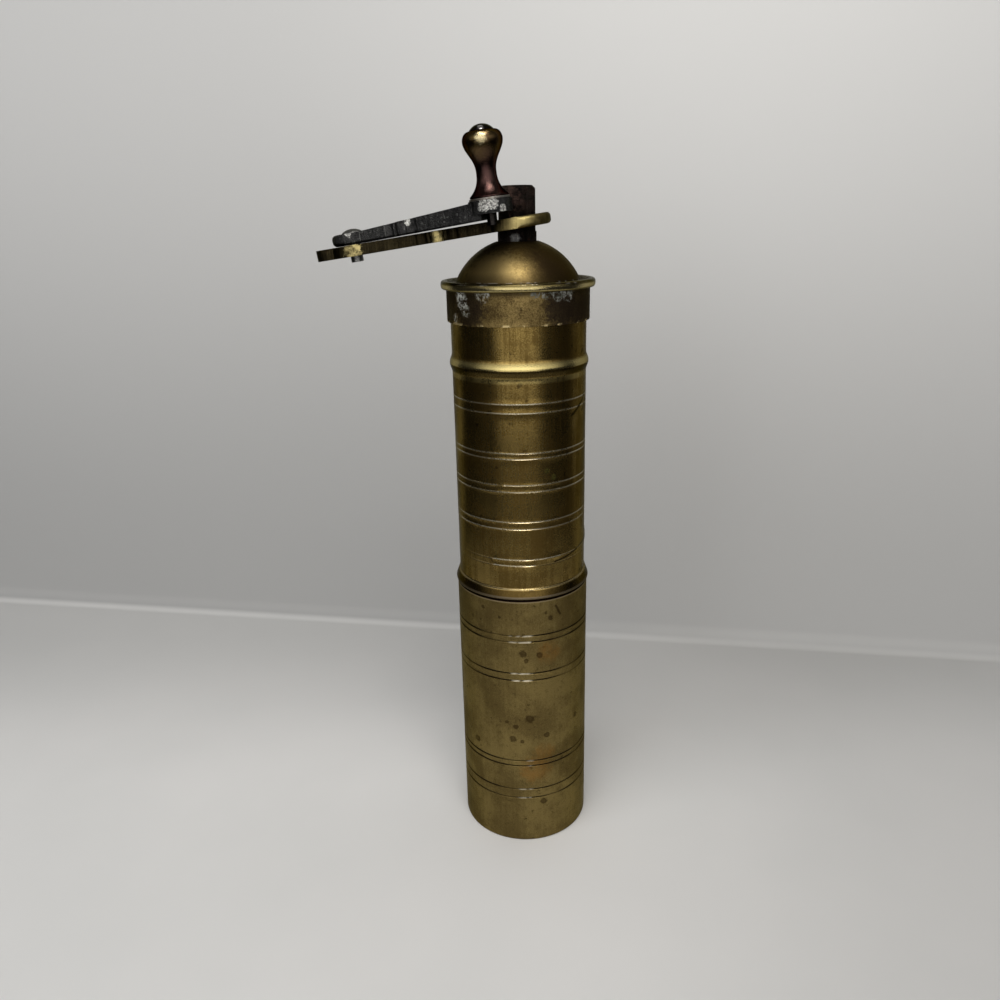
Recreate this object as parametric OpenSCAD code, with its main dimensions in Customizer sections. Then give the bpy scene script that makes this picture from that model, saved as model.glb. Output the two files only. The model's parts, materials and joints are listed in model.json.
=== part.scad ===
// Brass hand mill for Turkish coffee: a ground-coffee cup, a bean tube with a conical burr
// set in its lower end, a domed lid, and a folding crank that lifts off an eight-sided shaft.
// Millimetres. The origin is the centre of the base and +Z is the axis of the shaft.

/* [Body tube] */
// Outside diameter of the bean tube
tube_d = 43; // [40:0.5:56]
// Wall of the bean tube
tube_wall = 0.9; // [0.6:0.1:1.4]
// Height of the bean tube, from its flared lip to its top edge
body_h = 98; // [90:1:130]
// Height of the flared lip over its lower edge
lip_h = 3.8; // [3:0.2:7]
// Height of the plain band at the lip's lower edge
lip_band = 1.3; // [0.8:0.1:2.4]
// How far the flared lip stands out past the cup
lip_overhang = 0.4; // [0.2:0.1:1.5]
// Height of the middle of the rolled bead over the lip
bead_z = 74.6; // [70:0.2:78]
// Length of the rolled bead along the tube
bead_l = 6; // [3:0.5:8]
// How far the rolled bead stands out of the tube
bead_rise = 0.75; // [0.3:0.05:1.5]

/* [Cup] */
// Height of the cup
cup_h = 95.6; // [80:0.2:120]
// Wall of the cup
cup_wall = 0.94; // [0.6:0.02:1.6]
// Thickness of the disc that closes the cup
base_t = 1.2; // [0.8:0.1:3]
// Gap between the cup's rim and the flared lip
rim_gap = 0.4; // [0.1:0.1:0.8]

/* [Turned lines] */
// Heights of the line pairs over the lip of the bean tube
body_lines = [12.5, 25.3, 37.6, 48.1, 62.9]; // [8:0.1:68]
// Heights of the line pairs on the cup
cup_lines = [20.3, 33, 67.4, 81.7]; // [10:0.1:76]
// Distance between the two lines of a pair
line_pitch = 2.3; // [1.6:0.1:3]
// Width of a turned line
line_w = 0.5; // [0.3:0.05:0.9]
// Depth of a turned line
line_depth = 0.25; // [0.1:0.05:0.35]

/* [Lid] */
// Wall of the spun lid and of its skirt
lid_wall = 0.9; // [0.6:0.1:1.2]
// Length of the skirt that slides over the bean tube
skirt_h = 10.3; // [6:0.1:14]
// Radius of the rolled rim
rim_r = 1.1; // [0.8:0.05:1.6]
// Height of the dome over the rim plate
dome_h = 12.9; // [9:0.1:17]
// How far the foot of the dome lies inside the bean tube's outside
dome_inset = 2; // [1.2:0.1:4]

/* [Shaft] */
// Width across the flats of the shaft where it leaves the lid
shaft_flats = 11.8; // [10:0.1:13]
// Step at each flat on which the crank rests
seat_step = 0.3; // [0.2:0.05:0.6]
// Height of the crank's rest over the top of the dome
seat_lift = 1.8; // [1:0.1:5]
// Length of the shaft over the crank's rest
head_l = 13.1; // [9:0.1:18]
// Bevel round the end of the shaft
head_bevel = 1.3; // [0.5:0.1:2]
// Diameter of the shaft where it passes through the beans
neck_d = 10; // [9:0.2:11]
// Diameter of the shaft inside the burr
burr_seat_d = 8.4; // [7:0.1:8.8]

/* [Guide and spring] */
// Depth of the guide strip under the top of the bean tube
guide_drop = 6; // [4:0.5:10]
// Thickness of the guide strip
guide_t = 2; // [1.5:0.1:3]
// Width of the guide strip
guide_w = 12; // [9:0.5:14]
// Length of the guide's bearing sleeve
guide_sleeve_l = 7; // [4:0.5:9]
// Wall of the guide's bearing sleeve
guide_sleeve_wall = 2.4; // [1.8:0.1:3]
// Length of the spring as fitted
spring_l = 24; // [18:0.5:34]
// Diameter of the spring wire
wire_d = 1.4; // [1:0.1:1.8]
// Turns of the spring
spring_turns = 6; // [4:1:8]
// Thickness of the spring's washers
washer_t = 0.9; // [0.6:0.1:1.4]
// Height of the collar that the spring presses on
collar_h = 3; // [2:0.5:5]

/* [Burrs] */
// Length of the burr holder that plugs into the cup
plug_l = 19; // [14:0.5:24]
// Length of the burr holder inside the bean tube
holder_up = 12; // [9:0.5:18]
// Wall of the burr holder beside the outer burr
holder_wall = 1.7; // [1.2:0.1:2.4]
// Length of the outer burr
ring_l = 24; // [20:0.5:27]
// Wall of the outer burr at its lower end
ring_wall = 4.2; // [3.6:0.1:4.8]
// Length of the inner burr
cone_l = 20; // [16:0.5:22]
// Difference of radius between the two ends of the inner burr
cone_taper = 5.4; // [4:0.2:6]
// Gap between the burrs at the coarse setting
grind_gap = 0.6; // [0.5:0.05:1]
// Depth of the teeth
tooth_depth = 1.1; // [0.6:0.1:1.4]
// Teeth round the inner burr
cone_teeth = 12; // [8:1:16]
// Teeth round the outer burr
ring_teeth = 18; // [12:1:24]
// Diameter of the pin through the inner burr
pin_d = 2.8; // [2:0.1:3.4]
// Height of that pin over the foot of the inner burr
pin_up = 12; // [8:0.5:13]

/* [Grind setting] */
// Thickness of the bar under the burrs
bar_t = 4; // [3:0.2:6]
// Width of the bar under the burrs
bar_w = 11; // [9:0.5:14]
// Diameter of the adjusting screw
screw_d = 6; // [5:0.2:7]
// Diameter of the adjusting screw's milled head
thumb_d = 16; // [12:0.5:20]
// Thickness of the adjusting screw's milled head
thumb_t = 5; // [3:0.5:8]
// Width across the flats of the lock nut
nut_flats = 10; // [9:0.2:12]
// Thickness of the lock nut
nut_t = 3; // [2:0.2:5]
// Room between the lock nut and the milled head
thumb_room = 2; // [1.2:0.1:4]
// Diameter of the thrust ball
ball_d = 4.8; // [4:0.1:5]
// Diameter of the bar's screws
bar_screw_d = 2.4; // [1.8:0.1:2.6]

/* [Crank arm] */
// Distance from the shaft to the link's rivet
arm_l = 50.5; // [44:0.5:70]
// Thickness of the arm
arm_t = 3.3; // [2.4:0.1:5]
// Width of the arm
arm_w = 13.6; // [10:0.2:15]
// Angle at which the arm hangs down from level
droop = 7.9; // [0:0.1:9]
// Metal round the shaft's hole in the arm
arm_eye_wall = 4.2; // [3:0.1:5]
// Radius of the arm's rivet end
rivet_eye_r = 7.4; // [6:0.1:9]
// Distance from the shaft to the ornaments on the arm's edges
arm_bead_at = 24.2; // [22:0.2:28]
// Radius of the ornaments on the arm's edges
arm_bead_r = 2.3; // [1.6:0.1:2.8]
// Length of the tongue past the rivet that carries the opened link
tongue_l = 12.1; // [9:0.1:16]
// Width of the tongue's tip
tongue_w = 8.6; // [5:0.2:10]

/* [Crank link] */
// How much shorter the link is than the arm
link_short = 5.5; // [4:0.1:9]
// Thickness of the link at the rivet
link_t = 3.4; // [2.4:0.1:5]
// Width of the link
link_w = 9.2; // [7:0.2:11]
// Distance from the rivet to the ornaments on the link's edges
link_bead_at = 18; // [15:0.2:24]
// Radius of the ornaments on the link's edges
link_bead_r = 1.8; // [1.2:0.1:2.2]
// Radius of the link's two eyes
link_eye_r = 6.4; // [5.8:0.1:8]
// Thickness of the link's eye under the knob
knob_eye_t = 3.7; // [2.4:0.1:4]
// Height of the knob's seat over the link's lower face at the rivet
knob_seat_z = 5.8; // [5:0.1:8]
// Angle of the knob's pin, from square to the arm
knob_tilt = 1.9; // [0:0.1:3]
// Diameter of the rivet
rivet_d = 3.8; // [3:0.1:5]
// Diameter of the rivet's head
rivet_head_d = 6.4; // [5.6:0.1:8]
// Height of the rivet's head
rivet_head_h = 1.8; // [1:0.1:2.5]
// Length of the rivet's end under the arm
rivet_tail = 1.8; // [0.8:0.1:3]

/* [Knob] */
// Height of the turned knob
knob_h = 17.8; // [14:0.2:26]
// Diameter of the knob's foot
knob_foot_d = 11.4; // [9:0.1:12]
// Diameter of the knob's waist
knob_waist_d = 5.9; // [5:0.1:7]
// Height of the knob's waist
knob_waist_z = 6; // [5:0.1:9]
// Distance of the knob's widest place under its top
knob_grip_drop = 2.6; // [2:0.1:4]
// Diameter of the knob's grip
knob_grip_d = 11.4; // [9:0.1:14]
// Diameter of the knob's flat top
knob_top_d = 8; // [7:0.1:8.8]
// Thickness of the washer under the knob
knob_washer_t = 0.6; // [0.4:0.1:1]
// Diameter of the knob's pin
knob_pin_d = 3; // [2:0.1:3.6]
// Diameter of the pin's domed head
knob_pin_head_d = 6.4; // [5:0.1:7]
// Height of the pin's domed head
knob_pin_head_h = 1.8; // [1:0.1:2.5]
// Length of the pin's end under the link
knob_pin_tail = 3.4; // [1:0.1:3.6]

/* [Clearances] */
// Clearance of pieces that slide or turn in each other
run_fit = 0.05; // [0.03:0.01:0.09]
// Clearance of pieces that are soldered or pressed together
fixed_fit = 0.02; // [0.01:0.01:0.04]
// Clearance round the shaft in the crank's hole
crank_fit = 0.15; // [0.1:0.01:0.3]
// Clearance round the shaft in the lid's hole
lid_hole_fit = 0.3; // [0.2:0.05:0.6]
// Room between the folded link and what it stops against
fold_room = 0.35; // [0.2:0.05:1]

/* [Hidden] */
$fn = 96;
SMALL = 0.01;

// Colours of the aged metals
BRASS = [0.47, 0.38, 0.16];
DARK_BRASS = [0.40, 0.31, 0.13];
KNOB_BRASS = [0.33, 0.22, 0.13];
STEEL = [0.30, 0.30, 0.30];
BLACK_STEEL = [0.14, 0.13, 0.13];
IRON = [0.25, 0.24, 0.23];

// Radii of the nested tubes
tube_r = tube_d / 2;
tube_ir = tube_r - tube_wall;
cup_ir = tube_r + run_fit;
cup_r = cup_ir + cup_wall;
skirt_ir = tube_r + run_fit;
skirt_r = skirt_ir + lid_wall;
lip_r = cup_r + lip_overhang;

// Heights of the cup, the bean tube and the lid
body_z = cup_h + rim_gap;
body_top = body_z + body_h;
plate_z = body_top + run_fit;
plate_top = plate_z + lid_wall;
dome_top = plate_top + dome_h;
dome_foot_r = tube_r - dome_inset;
dome_r = (pow(dome_foot_r, 2) + pow(dome_h, 2)) / (2 * dome_h);
dome_mid = dome_top - dome_r;
rim_mid_r = skirt_r + rim_r / 2;
rim_mid_z = plate_top - rim_r / 3;
skirt_top = rim_mid_z - rim_r;

// The shaft is a round bar whose top is filed to eight sides, with the corners left a little round
corner_soft = 0.15;
bar_r = shaft_flats / 2 / cos(22.5) - corner_soft;
seat_flats = shaft_flats - 2 * seat_step;
seat_corner_r = seat_flats / 2 / cos(22.5);
lid_hole_r = bar_r + lid_hole_fit;
seat_z = dome_top + seat_lift;
shaft_top = seat_z + head_l;

// Guide, spring and the collar that takes its push
guide_z = body_top - guide_drop - guide_t;
sleeve_r = bar_r + run_fit + guide_sleeve_wall;
sleeve_z = guide_z + guide_t - guide_sleeve_l;
upper_washer_z = sleeve_z - washer_t;
spring_z = upper_washer_z - spring_l;
lower_washer_z = spring_z - washer_t;
collar_z = lower_washer_z - collar_h;
collar_top = lower_washer_z - fixed_fit;
spring_clear = 0.7;
coil_r = bar_r + spring_clear + wire_d / 2;
washer_rim = 0.6;
washer_r = coil_r + wire_d / 2 + washer_rim;
bearing_over = 2;
round_top = guide_z + guide_t + bearing_over;

// Burr holder and burrs
holder_z = body_z - plug_l;
holder_top = body_z + holder_up;
holder_step = 1.2;
holder_step_z = body_z + holder_step;
ring_r = tube_ir - fixed_fit - holder_wall;
ring_foot_r = ring_r - ring_wall;
ring_top = holder_z + ring_l;
cone_lift = 1.2;
cone_slope = cone_taper / cone_l;
cone_angle = atan(cone_slope);
cone_foot_r = ring_foot_r - cone_lift * cone_slope - grind_gap;
cone_top_r = cone_foot_r - cone_taper;
cone_z = holder_z + cone_lift;
cone_top = cone_z + cone_l;
pin_z = cone_z + pin_up;
pin_sink = 0.4;
tooth_skew = 14;
neck_r = neck_d / 2;

// Adjusting screw, thrust ball and the bar that carries them
bar_z = holder_z - bar_t;
bar_end_gap = 0.5;
bar_reach = ring_r - bar_end_gap;
bar_screw_at = ring_r - ring_wall / 2;
bar_screw_head = 1.6;
screw_head_rim = 0.9;
screw_slot = 0.6;
ball_dip = ball_d / 3;
ball_z = cone_z + ball_dip - ball_d / 2 - run_fit;
screw_top = ball_z - ball_d / 2 + ball_dip - run_fit;
nut_z = bar_z - nut_t - run_fit;
thumb_z = nut_z - thumb_room - thumb_t;

// Crank arm, and where the folded link comes to rest
arm_z = seat_z + fixed_fit + arm_t / 2 / cos(droop) + shaft_flats / 2 * tan(droop);
arm_eye_r = seat_corner_r + crank_fit + arm_eye_wall;
link_l = arm_l - link_short;
stop_at_shaft = seat_corner_r + link_eye_r + fold_room;
stop_at_arm = arm_eye_r + knob_pin_d / 2 + fold_room;
knob_at = max(stop_at_shaft, stop_at_arm);
fold_angle = acos((pow(arm_l, 2) + pow(link_l, 2) - pow(knob_at, 2)) / (2 * arm_l * link_l));
link_gap = 2 * run_fit;
rivet_head_room = 0.6;
link_flat = rivet_head_d / 2 + rivet_head_room;
pin_margin = 0.5;
link_end = link_l - knob_pin_d / 2 - pin_margin;
link_lift = 0.5;

// Places the crank's pieces: along the drooping arm, along the folded link, on the knob's pin
module on_arm() translate([0, 0, arm_z]) rotate([0, droop, 180]) children();

module on_link() on_arm() translate([arm_l, 0, arm_t / 2 + link_gap])
    rotate([0, 0, 180 - fold_angle]) children();

module on_knob_pin() on_link() translate([link_l, 0, knob_seat_z])
    rotate([0, knob_tilt, 0]) children();

// Eight-sided bar with a flat towards -Y
module octagon_bar(flats, h) rotate(22.5) cylinder(r = flats / 2 / cos(22.5), h = h, $fn = 8);

// Ring of plain section
module washer(r, hole_r, h) {
    difference() {
        cylinder(r = r, h = h);
        translate([0, 0, -1]) cylinder(r = hole_r, h = h + 2);
    }
}

// Low domed head on the plane z = 0
module domed_head(r, h) {
    sphere_r = (r * r + h * h) / (2 * h);
    intersection() {
        translate([0, 0, h - sphere_r]) sphere(r = sphere_r);
        cylinder(r = r + 1, h = h + 1);
    }
}

// Section of turned line pairs, cut into a wall whose outside is at r
module line_pairs(r, heights) {
    for (h = heights, side = [-1, 1])
        translate([r - line_depth, h + side * line_pitch / 2 - line_w / 2])
            square([line_depth + 1, line_w]);
}

// Cup: a plain tube with turned lines and a softened lower edge
module lower_cup() {
    edge = 0.6;
    color(BRASS) rotate_extrude() difference() {
        polygon([[cup_ir, 0], [cup_r - edge, 0], [cup_r, edge], [cup_r, cup_h], [cup_ir, cup_h]]);
        line_pairs(cup_r, cup_lines);
    }
}

// Disc soldered into the foot of the cup
module cup_base() color(DARK_BRASS) cylinder(r = cup_ir - fixed_fit, h = base_t);

// Outline of the flared lip: an S-curve from the tube out to a plain band with a rounded nose
nose_r = 0.6;
lip_steps = 8;
function ease(a, b, t) = a + (b - a) * (1 - cos(180 * t)) / 2;
lip_sweep = [for (i = [0 : lip_steps])
    let (t = i / lip_steps) [ease(lip_r, tube_r, t), lip_band + (lip_h - lip_band) * t]];

module lip_section() {
    polygon(concat([[tube_ir, lip_h], [tube_ir, 0], [lip_r - nose_r, 0], [lip_r - nose_r, nose_r],
        [lip_r, nose_r]], lip_sweep));
    translate([lip_r - nose_r, nose_r]) circle(r = nose_r);
}

// The bead is a shallow arc rolled out of the tube
module bead_section() {
    arc_r = (pow(bead_l / 2, 2) + pow(bead_rise, 2)) / (2 * bead_rise);
    intersection() {
        translate([tube_r + bead_rise - arc_r, bead_z]) circle(r = arc_r);
        translate([tube_r - tube_wall / 2, bead_z - bead_l]) square([bead_l, 2 * bead_l]);
    }
}

// Bean tube: flared lip, five pairs of turned lines and a rolled bead
module upper_body() {
    color(BRASS) translate([0, 0, body_z]) rotate_extrude() difference() {
        union() {
            translate([tube_ir, 0]) square([tube_wall, body_h]);
            lip_section();
            bead_section();
        }
        line_pairs(tube_r, body_lines);
        translate([0, -1]) square([tube_r + fixed_fit, 1 + holder_step_z - body_z + fixed_fit]);
    }
}

// Turned holder: its lower half plugs into the cup, its upper half is soldered in the tube
module burr_holder() {
    bore_r = ring_r + fixed_fit;
    throat_r = ring_r - ring_wall / 2;
    ledge_z = ring_top + fixed_fit;
    ledge_t = 1.2;
    color(DARK_BRASS) rotate_extrude() polygon([
        [bore_r, holder_z], [tube_r, holder_z], [tube_r, holder_step_z],
        [tube_ir - fixed_fit, holder_step_z], [tube_ir - fixed_fit, holder_top],
        [throat_r, ledge_z + ledge_t], [throat_r, ledge_z], [bore_r, ledge_z]]);
}

// One slanted tooth gap, cut along a cone whose side passes through radius r at the origin
module tooth_gap(r, lean, skew, l) {
    side = tooth_depth * sqrt(2);
    translate([r, 0, 0]) rotate([skew, -lean, 0]) rotate([0, 0, 45])
        cube([side, side, l], center = true);
}

// Outer burr: an iron ring with a toothed cone inside, wide at the mouth and at the foot
module outer_burr() {
    waist_z = cone_l / 2;
    waist_r = ring_foot_r - waist_z * tan(cone_angle);
    mouth_r = ring_foot_r + ring_wall / 4;
    color(IRON) translate([0, 0, holder_z]) difference() {
        rotate_extrude() polygon([[ring_foot_r, 0], [ring_r, 0], [ring_r, ring_l],
            [mouth_r, ring_l], [waist_r, waist_z]]);
        for (i = [0 : ring_teeth - 1])
            rotate(i * 360 / ring_teeth) translate([0, 0, waist_z / 2])
                tooth_gap((ring_foot_r + waist_r) / 2, cone_angle, tooth_skew, ring_l);
        for (side = [-1, 1])
            translate([0, side * bar_screw_at, -1])
                cylinder(d = bar_screw_d + 2 * fixed_fit, h = bar_t + 2);
    }
}

// Strip across the tube's mouth, bent down and soldered at its ends, with the shaft's bearing
module top_guide() {
    reach = tube_ir - fixed_fit;
    tab_h = 8;
    color(BRASS) difference() {
        union() {
            intersection() {
                union() {
                    translate([-guide_w / 2, -reach, guide_z]) cube([guide_w, 2 * reach, guide_t]);
                    for (side = [-1, 1])
                        translate([-guide_w / 2, side * (reach - guide_t) - guide_t,
                            guide_z + guide_t - tab_h]) cube([guide_w, 2 * guide_t, tab_h]);
                }
                translate([0, 0, guide_z - tab_h]) cylinder(r = reach, h = 2 * tab_h);
            }
            translate([0, 0, sleeve_z]) cylinder(r = sleeve_r, h = guide_sleeve_l);
        }
        translate([0, 0, sleeve_z - 1]) cylinder(r = bar_r + run_fit, h = guide_sleeve_l + 2);
    }
}

module upper_spring_washer() color(STEEL) translate([0, 0, upper_washer_z])
    washer(washer_r, bar_r + 4 * run_fit, washer_t - run_fit);

module lower_spring_washer() color(STEEL) translate([0, 0, lower_washer_z])
    washer(washer_r, bar_r + fixed_fit, washer_t);

// Spring: one round wire wound in a helix, eight rings to the turn and six sides to the ring
wire_sides = 6;
rings_per_turn = 8;
spring_rings = spring_turns * rings_per_turn;
spring_run = spring_l - wire_d - 4 * run_fit;
function spring_point(i) = [
    coil_r * cos(i * 360 / rings_per_turn),
    coil_r * sin(i * 360 / rings_per_turn),
    spring_z + wire_d / 2 + 2 * run_fit + spring_run * i / spring_rings];
function spring_corner(i, k) =
    let (turn = i * 360 / rings_per_turn, around = k * 360 / wire_sides)
    spring_point(i) + wire_d / 2 * [cos(turn) * cos(around), sin(turn) * cos(around), sin(around)];

module burr_spring() {
    points = [for (i = [0 : spring_rings], k = [0 : wire_sides - 1]) spring_corner(i, k)];
    last = spring_rings * wire_sides;
    sides = [for (i = [0 : spring_rings - 1], k = [0 : wire_sides - 1])
        let (a = i * wire_sides + k, b = i * wire_sides + (k + 1) % wire_sides)
        each [[a, b, a + wire_sides], [b, b + wire_sides, a + wire_sides]]];
    caps = [for (k = [1 : wire_sides - 2]) each [[0, k + 1, k], [last, last + k, last + k + 1]]];
    color(STEEL) polyhedron(points = points, faces = concat(sides, caps));
}

spring_gap = min([for (i = [0 : spring_rings - rings_per_turn], j = [-2 : 2])
    let (other = i + rings_per_turn + j)
    other > spring_rings ? spring_l : norm(spring_point(i) - spring_point(other)) - wire_d]);
echo(least_spring_gap = spring_gap);

// Bar across the outer burr's foot, threaded for the adjusting screw
module bottom_bar() {
    color(STEEL) translate([0, 0, bar_z]) difference() {
        intersection() {
            translate([-bar_w / 2, -bar_reach, 0]) cube([bar_w, 2 * bar_reach, bar_t - fixed_fit]);
            cylinder(r = bar_reach, h = bar_t);
        }
        translate([0, 0, -1]) cylinder(d = screw_d + 2 * run_fit, h = bar_t + 2);
        for (side = [-1, 1])
            translate([0, side * bar_screw_at, -1])
                cylinder(d = bar_screw_d + 2 * fixed_fit, h = bar_t + 2);
    }
}

// Two slotted screws that hold the bar to the outer burr
module bar_screws() {
    color(STEEL) for (side = [-1, 1])
        translate([0, side * bar_screw_at, bar_z - bar_screw_head]) difference() {
            union() {
                cylinder(d = bar_screw_d + 2 * screw_head_rim, h = bar_screw_head - fixed_fit);
                cylinder(d = bar_screw_d, h = bar_screw_head + bar_t * 2);
            }
            translate([-bar_screw_d, -screw_slot / 2, -1])
                cube([2 * bar_screw_d, screw_slot, 1 + screw_slot]);
        }
}

module lock_nut() {
    color(STEEL) translate([0, 0, nut_z]) difference() {
        cylinder(d = nut_flats / cos(30), h = nut_t, $fn = 6);
        translate([0, 0, -1]) cylinder(d = screw_d + 2 * run_fit, h = nut_t + 2);
    }
}

// Adjusting screw: a milled head below, and a cupped tip that carries the thrust ball
module adjusting_screw() {
    notches = 18;
    notch_r = 0.9;
    color(BRASS) difference() {
        union() {
            translate([0, 0, thumb_z]) cylinder(d = thumb_d, h = thumb_t);
            translate([0, 0, thumb_z]) cylinder(d = screw_d, h = screw_top - thumb_z);
        }
        for (i = [0 : notches - 1])
            rotate(i * 360 / notches) translate([thumb_d / 2 + notch_r / 3, 0, thumb_z - 1])
                cylinder(r = notch_r, h = thumb_t + 2);
        translate([0, 0, ball_z]) sphere(d = ball_d + 2 * run_fit);
    }
}

module thrust_ball() color(STEEL) translate([0, 0, ball_z]) sphere(d = ball_d);

// Shaft: eight-sided top, round bearing, spring collar, slim neck and the burr's seat
module drive_shaft() {
    burr_seat_r = burr_seat_d / 2;
    collar_foot = collar_z - bar_r;
    color(BLACK_STEEL) difference() {
        union() {
            intersection() {
                rotate_extrude() polygon([[0, cone_z], [burr_seat_r, cone_z], [burr_seat_r, cone_top],
                    [neck_r, cone_top], [neck_r, collar_foot], [washer_r, collar_z],
                    [washer_r, collar_top], [bar_r, collar_top], [bar_r, seat_z], [0, seat_z]]);
                union() {
                    cylinder(r = 2 * washer_r, h = round_top);
                    octagon_bar(shaft_flats, seat_z);
                }
            }
            translate([0, 0, seat_z]) intersection() {
                octagon_bar(seat_flats, head_l);
                cylinder(r1 = seat_corner_r - head_bevel + head_l, r2 = seat_corner_r - head_bevel,
                    h = head_l);
            }
        }
        translate([0, 0, ball_z]) sphere(d = ball_d + 2 * run_fit);
        pin_hole();
    }
}

module pin_hole() translate([0, 0, pin_z]) rotate([0, 90, 0])
    cylinder(d = pin_d + 2 * fixed_fit, h = 4 * cone_foot_r, center = true);

// Inner burr: an iron cone with slanted teeth, wide end down
module inner_burr() {
    color(IRON) difference() {
        translate([0, 0, cone_z]) cylinder(r1 = cone_foot_r, r2 = cone_top_r, h = cone_l - fixed_fit);
        translate([0, 0, cone_z - 1]) cylinder(d = burr_seat_d + 2 * fixed_fit, h = cone_l + 2);
        for (i = [0 : cone_teeth - 1])
            rotate((i + 0.5) * 360 / cone_teeth) translate([0, 0, cone_z + cone_l / 2])
                tooth_gap((cone_foot_r + cone_top_r) / 2, cone_angle, -tooth_skew, 2 * cone_l);
        pin_hole();
    }
}

// Pin driven through the inner burr and the shaft
module burr_pin() {
    side_r = cone_foot_r - pin_up * cone_slope;
    color(STEEL) translate([0, 0, pin_z]) rotate([0, 90, 0])
        cylinder(d = pin_d, h = 2 * (side_r - tooth_depth - pin_sink), center = true);
}

// Skirt of the lid, which slides over the bean tube
module lid_skirt() {
    color(DARK_BRASS) translate([0, 0, skirt_top - skirt_h])
        washer(skirt_r, skirt_ir, skirt_h - fixed_fit);
}

// Spun dome with its flat plate and rolled rim, and the hole that the shaft comes through
module lid_dome() {
    inner_r = dome_r - lid_wall;
    plate_in = sqrt(pow(inner_r, 2) - pow(plate_z - dome_mid, 2));
    color(BRASS) rotate_extrude() {
        intersection() {
            translate([0, dome_mid]) difference() {
                circle(r = dome_r);
                circle(r = inner_r);
            }
            translate([lid_hole_r, plate_z]) square([dome_r, 2 * dome_h]);
        }
        translate([plate_in, plate_z]) square([rim_mid_r - plate_in, lid_wall]);
        translate([rim_mid_r, rim_mid_z]) circle(r = rim_r);
    }
}

// Round ornaments on both edges of a flat bar, with a hollow on each side of each
bead_out = -1 / 3;
hollow_out = 0.62;
hollow_spread = 2.1;

module edge_beads(x, w, r) {
    for (side = [-1, 1]) translate([x, side * (w / 2 + r * bead_out)]) circle(r = r);
}

module edge_hollows(x, w, r) {
    for (side = [-1, 1], end = [-1, 1])
        translate([x + end * r * hollow_spread, side * (w / 2 + r * hollow_out)]) circle(r = r);
}

// Crank arm: flat brass, filed to fit the shaft, with a tongue past the rivet
module crank_arm() {
    tip_r = tongue_w / 2;
    color(DARK_BRASS) difference() {
        on_arm() translate([0, 0, -arm_t / 2]) difference() {
            linear_extrude(height = arm_t) union() {
                difference() {
                    translate([0, -arm_w / 2]) square([arm_l, arm_w]);
                    edge_hollows(arm_bead_at, arm_w, arm_bead_r);
                }
                circle(r = arm_eye_r);
                edge_beads(arm_bead_at, arm_w, arm_bead_r);
                translate([arm_l, 0]) circle(r = rivet_eye_r);
                translate([arm_l, -tip_r]) square([tongue_l - tip_r, tongue_w]);
                translate([arm_l + tongue_l - tip_r, 0]) circle(r = tip_r);
            }
            translate([arm_l, 0, -1]) cylinder(d = rivet_d + 2 * fixed_fit, h = arm_t + 2);
        }
        translate([0, 0, seat_z - arm_t]) octagon_bar(seat_flats + 2 * crank_fit, 4 * arm_t);
    }
}

// Rivet fixed in the arm; the link turns on it under the domed head
module link_rivet() {
    color(STEEL) on_arm() translate([arm_l, 0, 0]) {
        translate([0, 0, -arm_t / 2 - rivet_tail])
            cylinder(d = rivet_d, h = arm_t + rivet_tail + 2 * link_gap + link_t + SMALL);
        translate([0, 0, arm_t / 2 + 2 * link_gap + link_t])
            domed_head(rivet_head_d / 2, rivet_head_h);
    }
}

// Crank link: forged steel that thickens towards the knob, with a bead on each edge
module crank_link() {
    top_slope = (knob_seat_z - link_t) / (link_l - link_flat);
    link_top = link_t + top_slope * (link_end - link_flat);
    color(STEEL) difference() {
        union() {
            on_link() intersection() {
                linear_extrude(height = 2 * knob_seat_z) union() {
                    circle(r = link_eye_r);
                    difference() {
                        translate([0, -link_w / 2]) square([link_end, link_w]);
                        edge_hollows(link_bead_at, link_w, link_bead_r);
                    }
                    edge_beads(link_bead_at, link_w, link_bead_r);
                }
                rotate([90, 0, 0]) linear_extrude(height = 4 * link_eye_r, center = true)
                    polygon([[-link_eye_r - 1, 0], [link_flat, 0], [link_end, link_lift],
                        [link_end, link_top], [link_flat, link_t], [-link_eye_r - 1, link_t]]);
            }
            on_knob_pin() translate([0, 0, -knob_eye_t]) cylinder(r = link_eye_r, h = knob_eye_t);
        }
        on_link() translate([0, 0, -1]) cylinder(d = rivet_d + 2 * run_fit, h = link_t + 2);
        on_knob_pin() translate([0, 0, -2 * knob_seat_z])
            cylinder(d = knob_pin_d + 2 * fixed_fit, h = 4 * knob_seat_z);
    }
}

// Thin washer between the link's eye and the knob, a little wider than the knob's foot
module knob_washer() {
    overhang = 0.3;
    color(STEEL) on_knob_pin()
        washer(knob_foot_d / 2 + overhang, knob_pin_d / 2 + fixed_fit, knob_washer_t);
}

// Pin riveted through the link's eye, with a domed head over the knob
module knob_pin() {
    head_z = knob_washer_t + knob_h + 2 * run_fit;
    tail = knob_eye_t + knob_pin_tail;
    color(BLACK_STEEL) on_knob_pin() {
        translate([0, 0, -tail]) cylinder(d = knob_pin_d, h = tail + head_z + SMALL);
        translate([0, 0, head_z]) domed_head(knob_pin_head_d / 2, knob_pin_head_h);
    }
}

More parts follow.
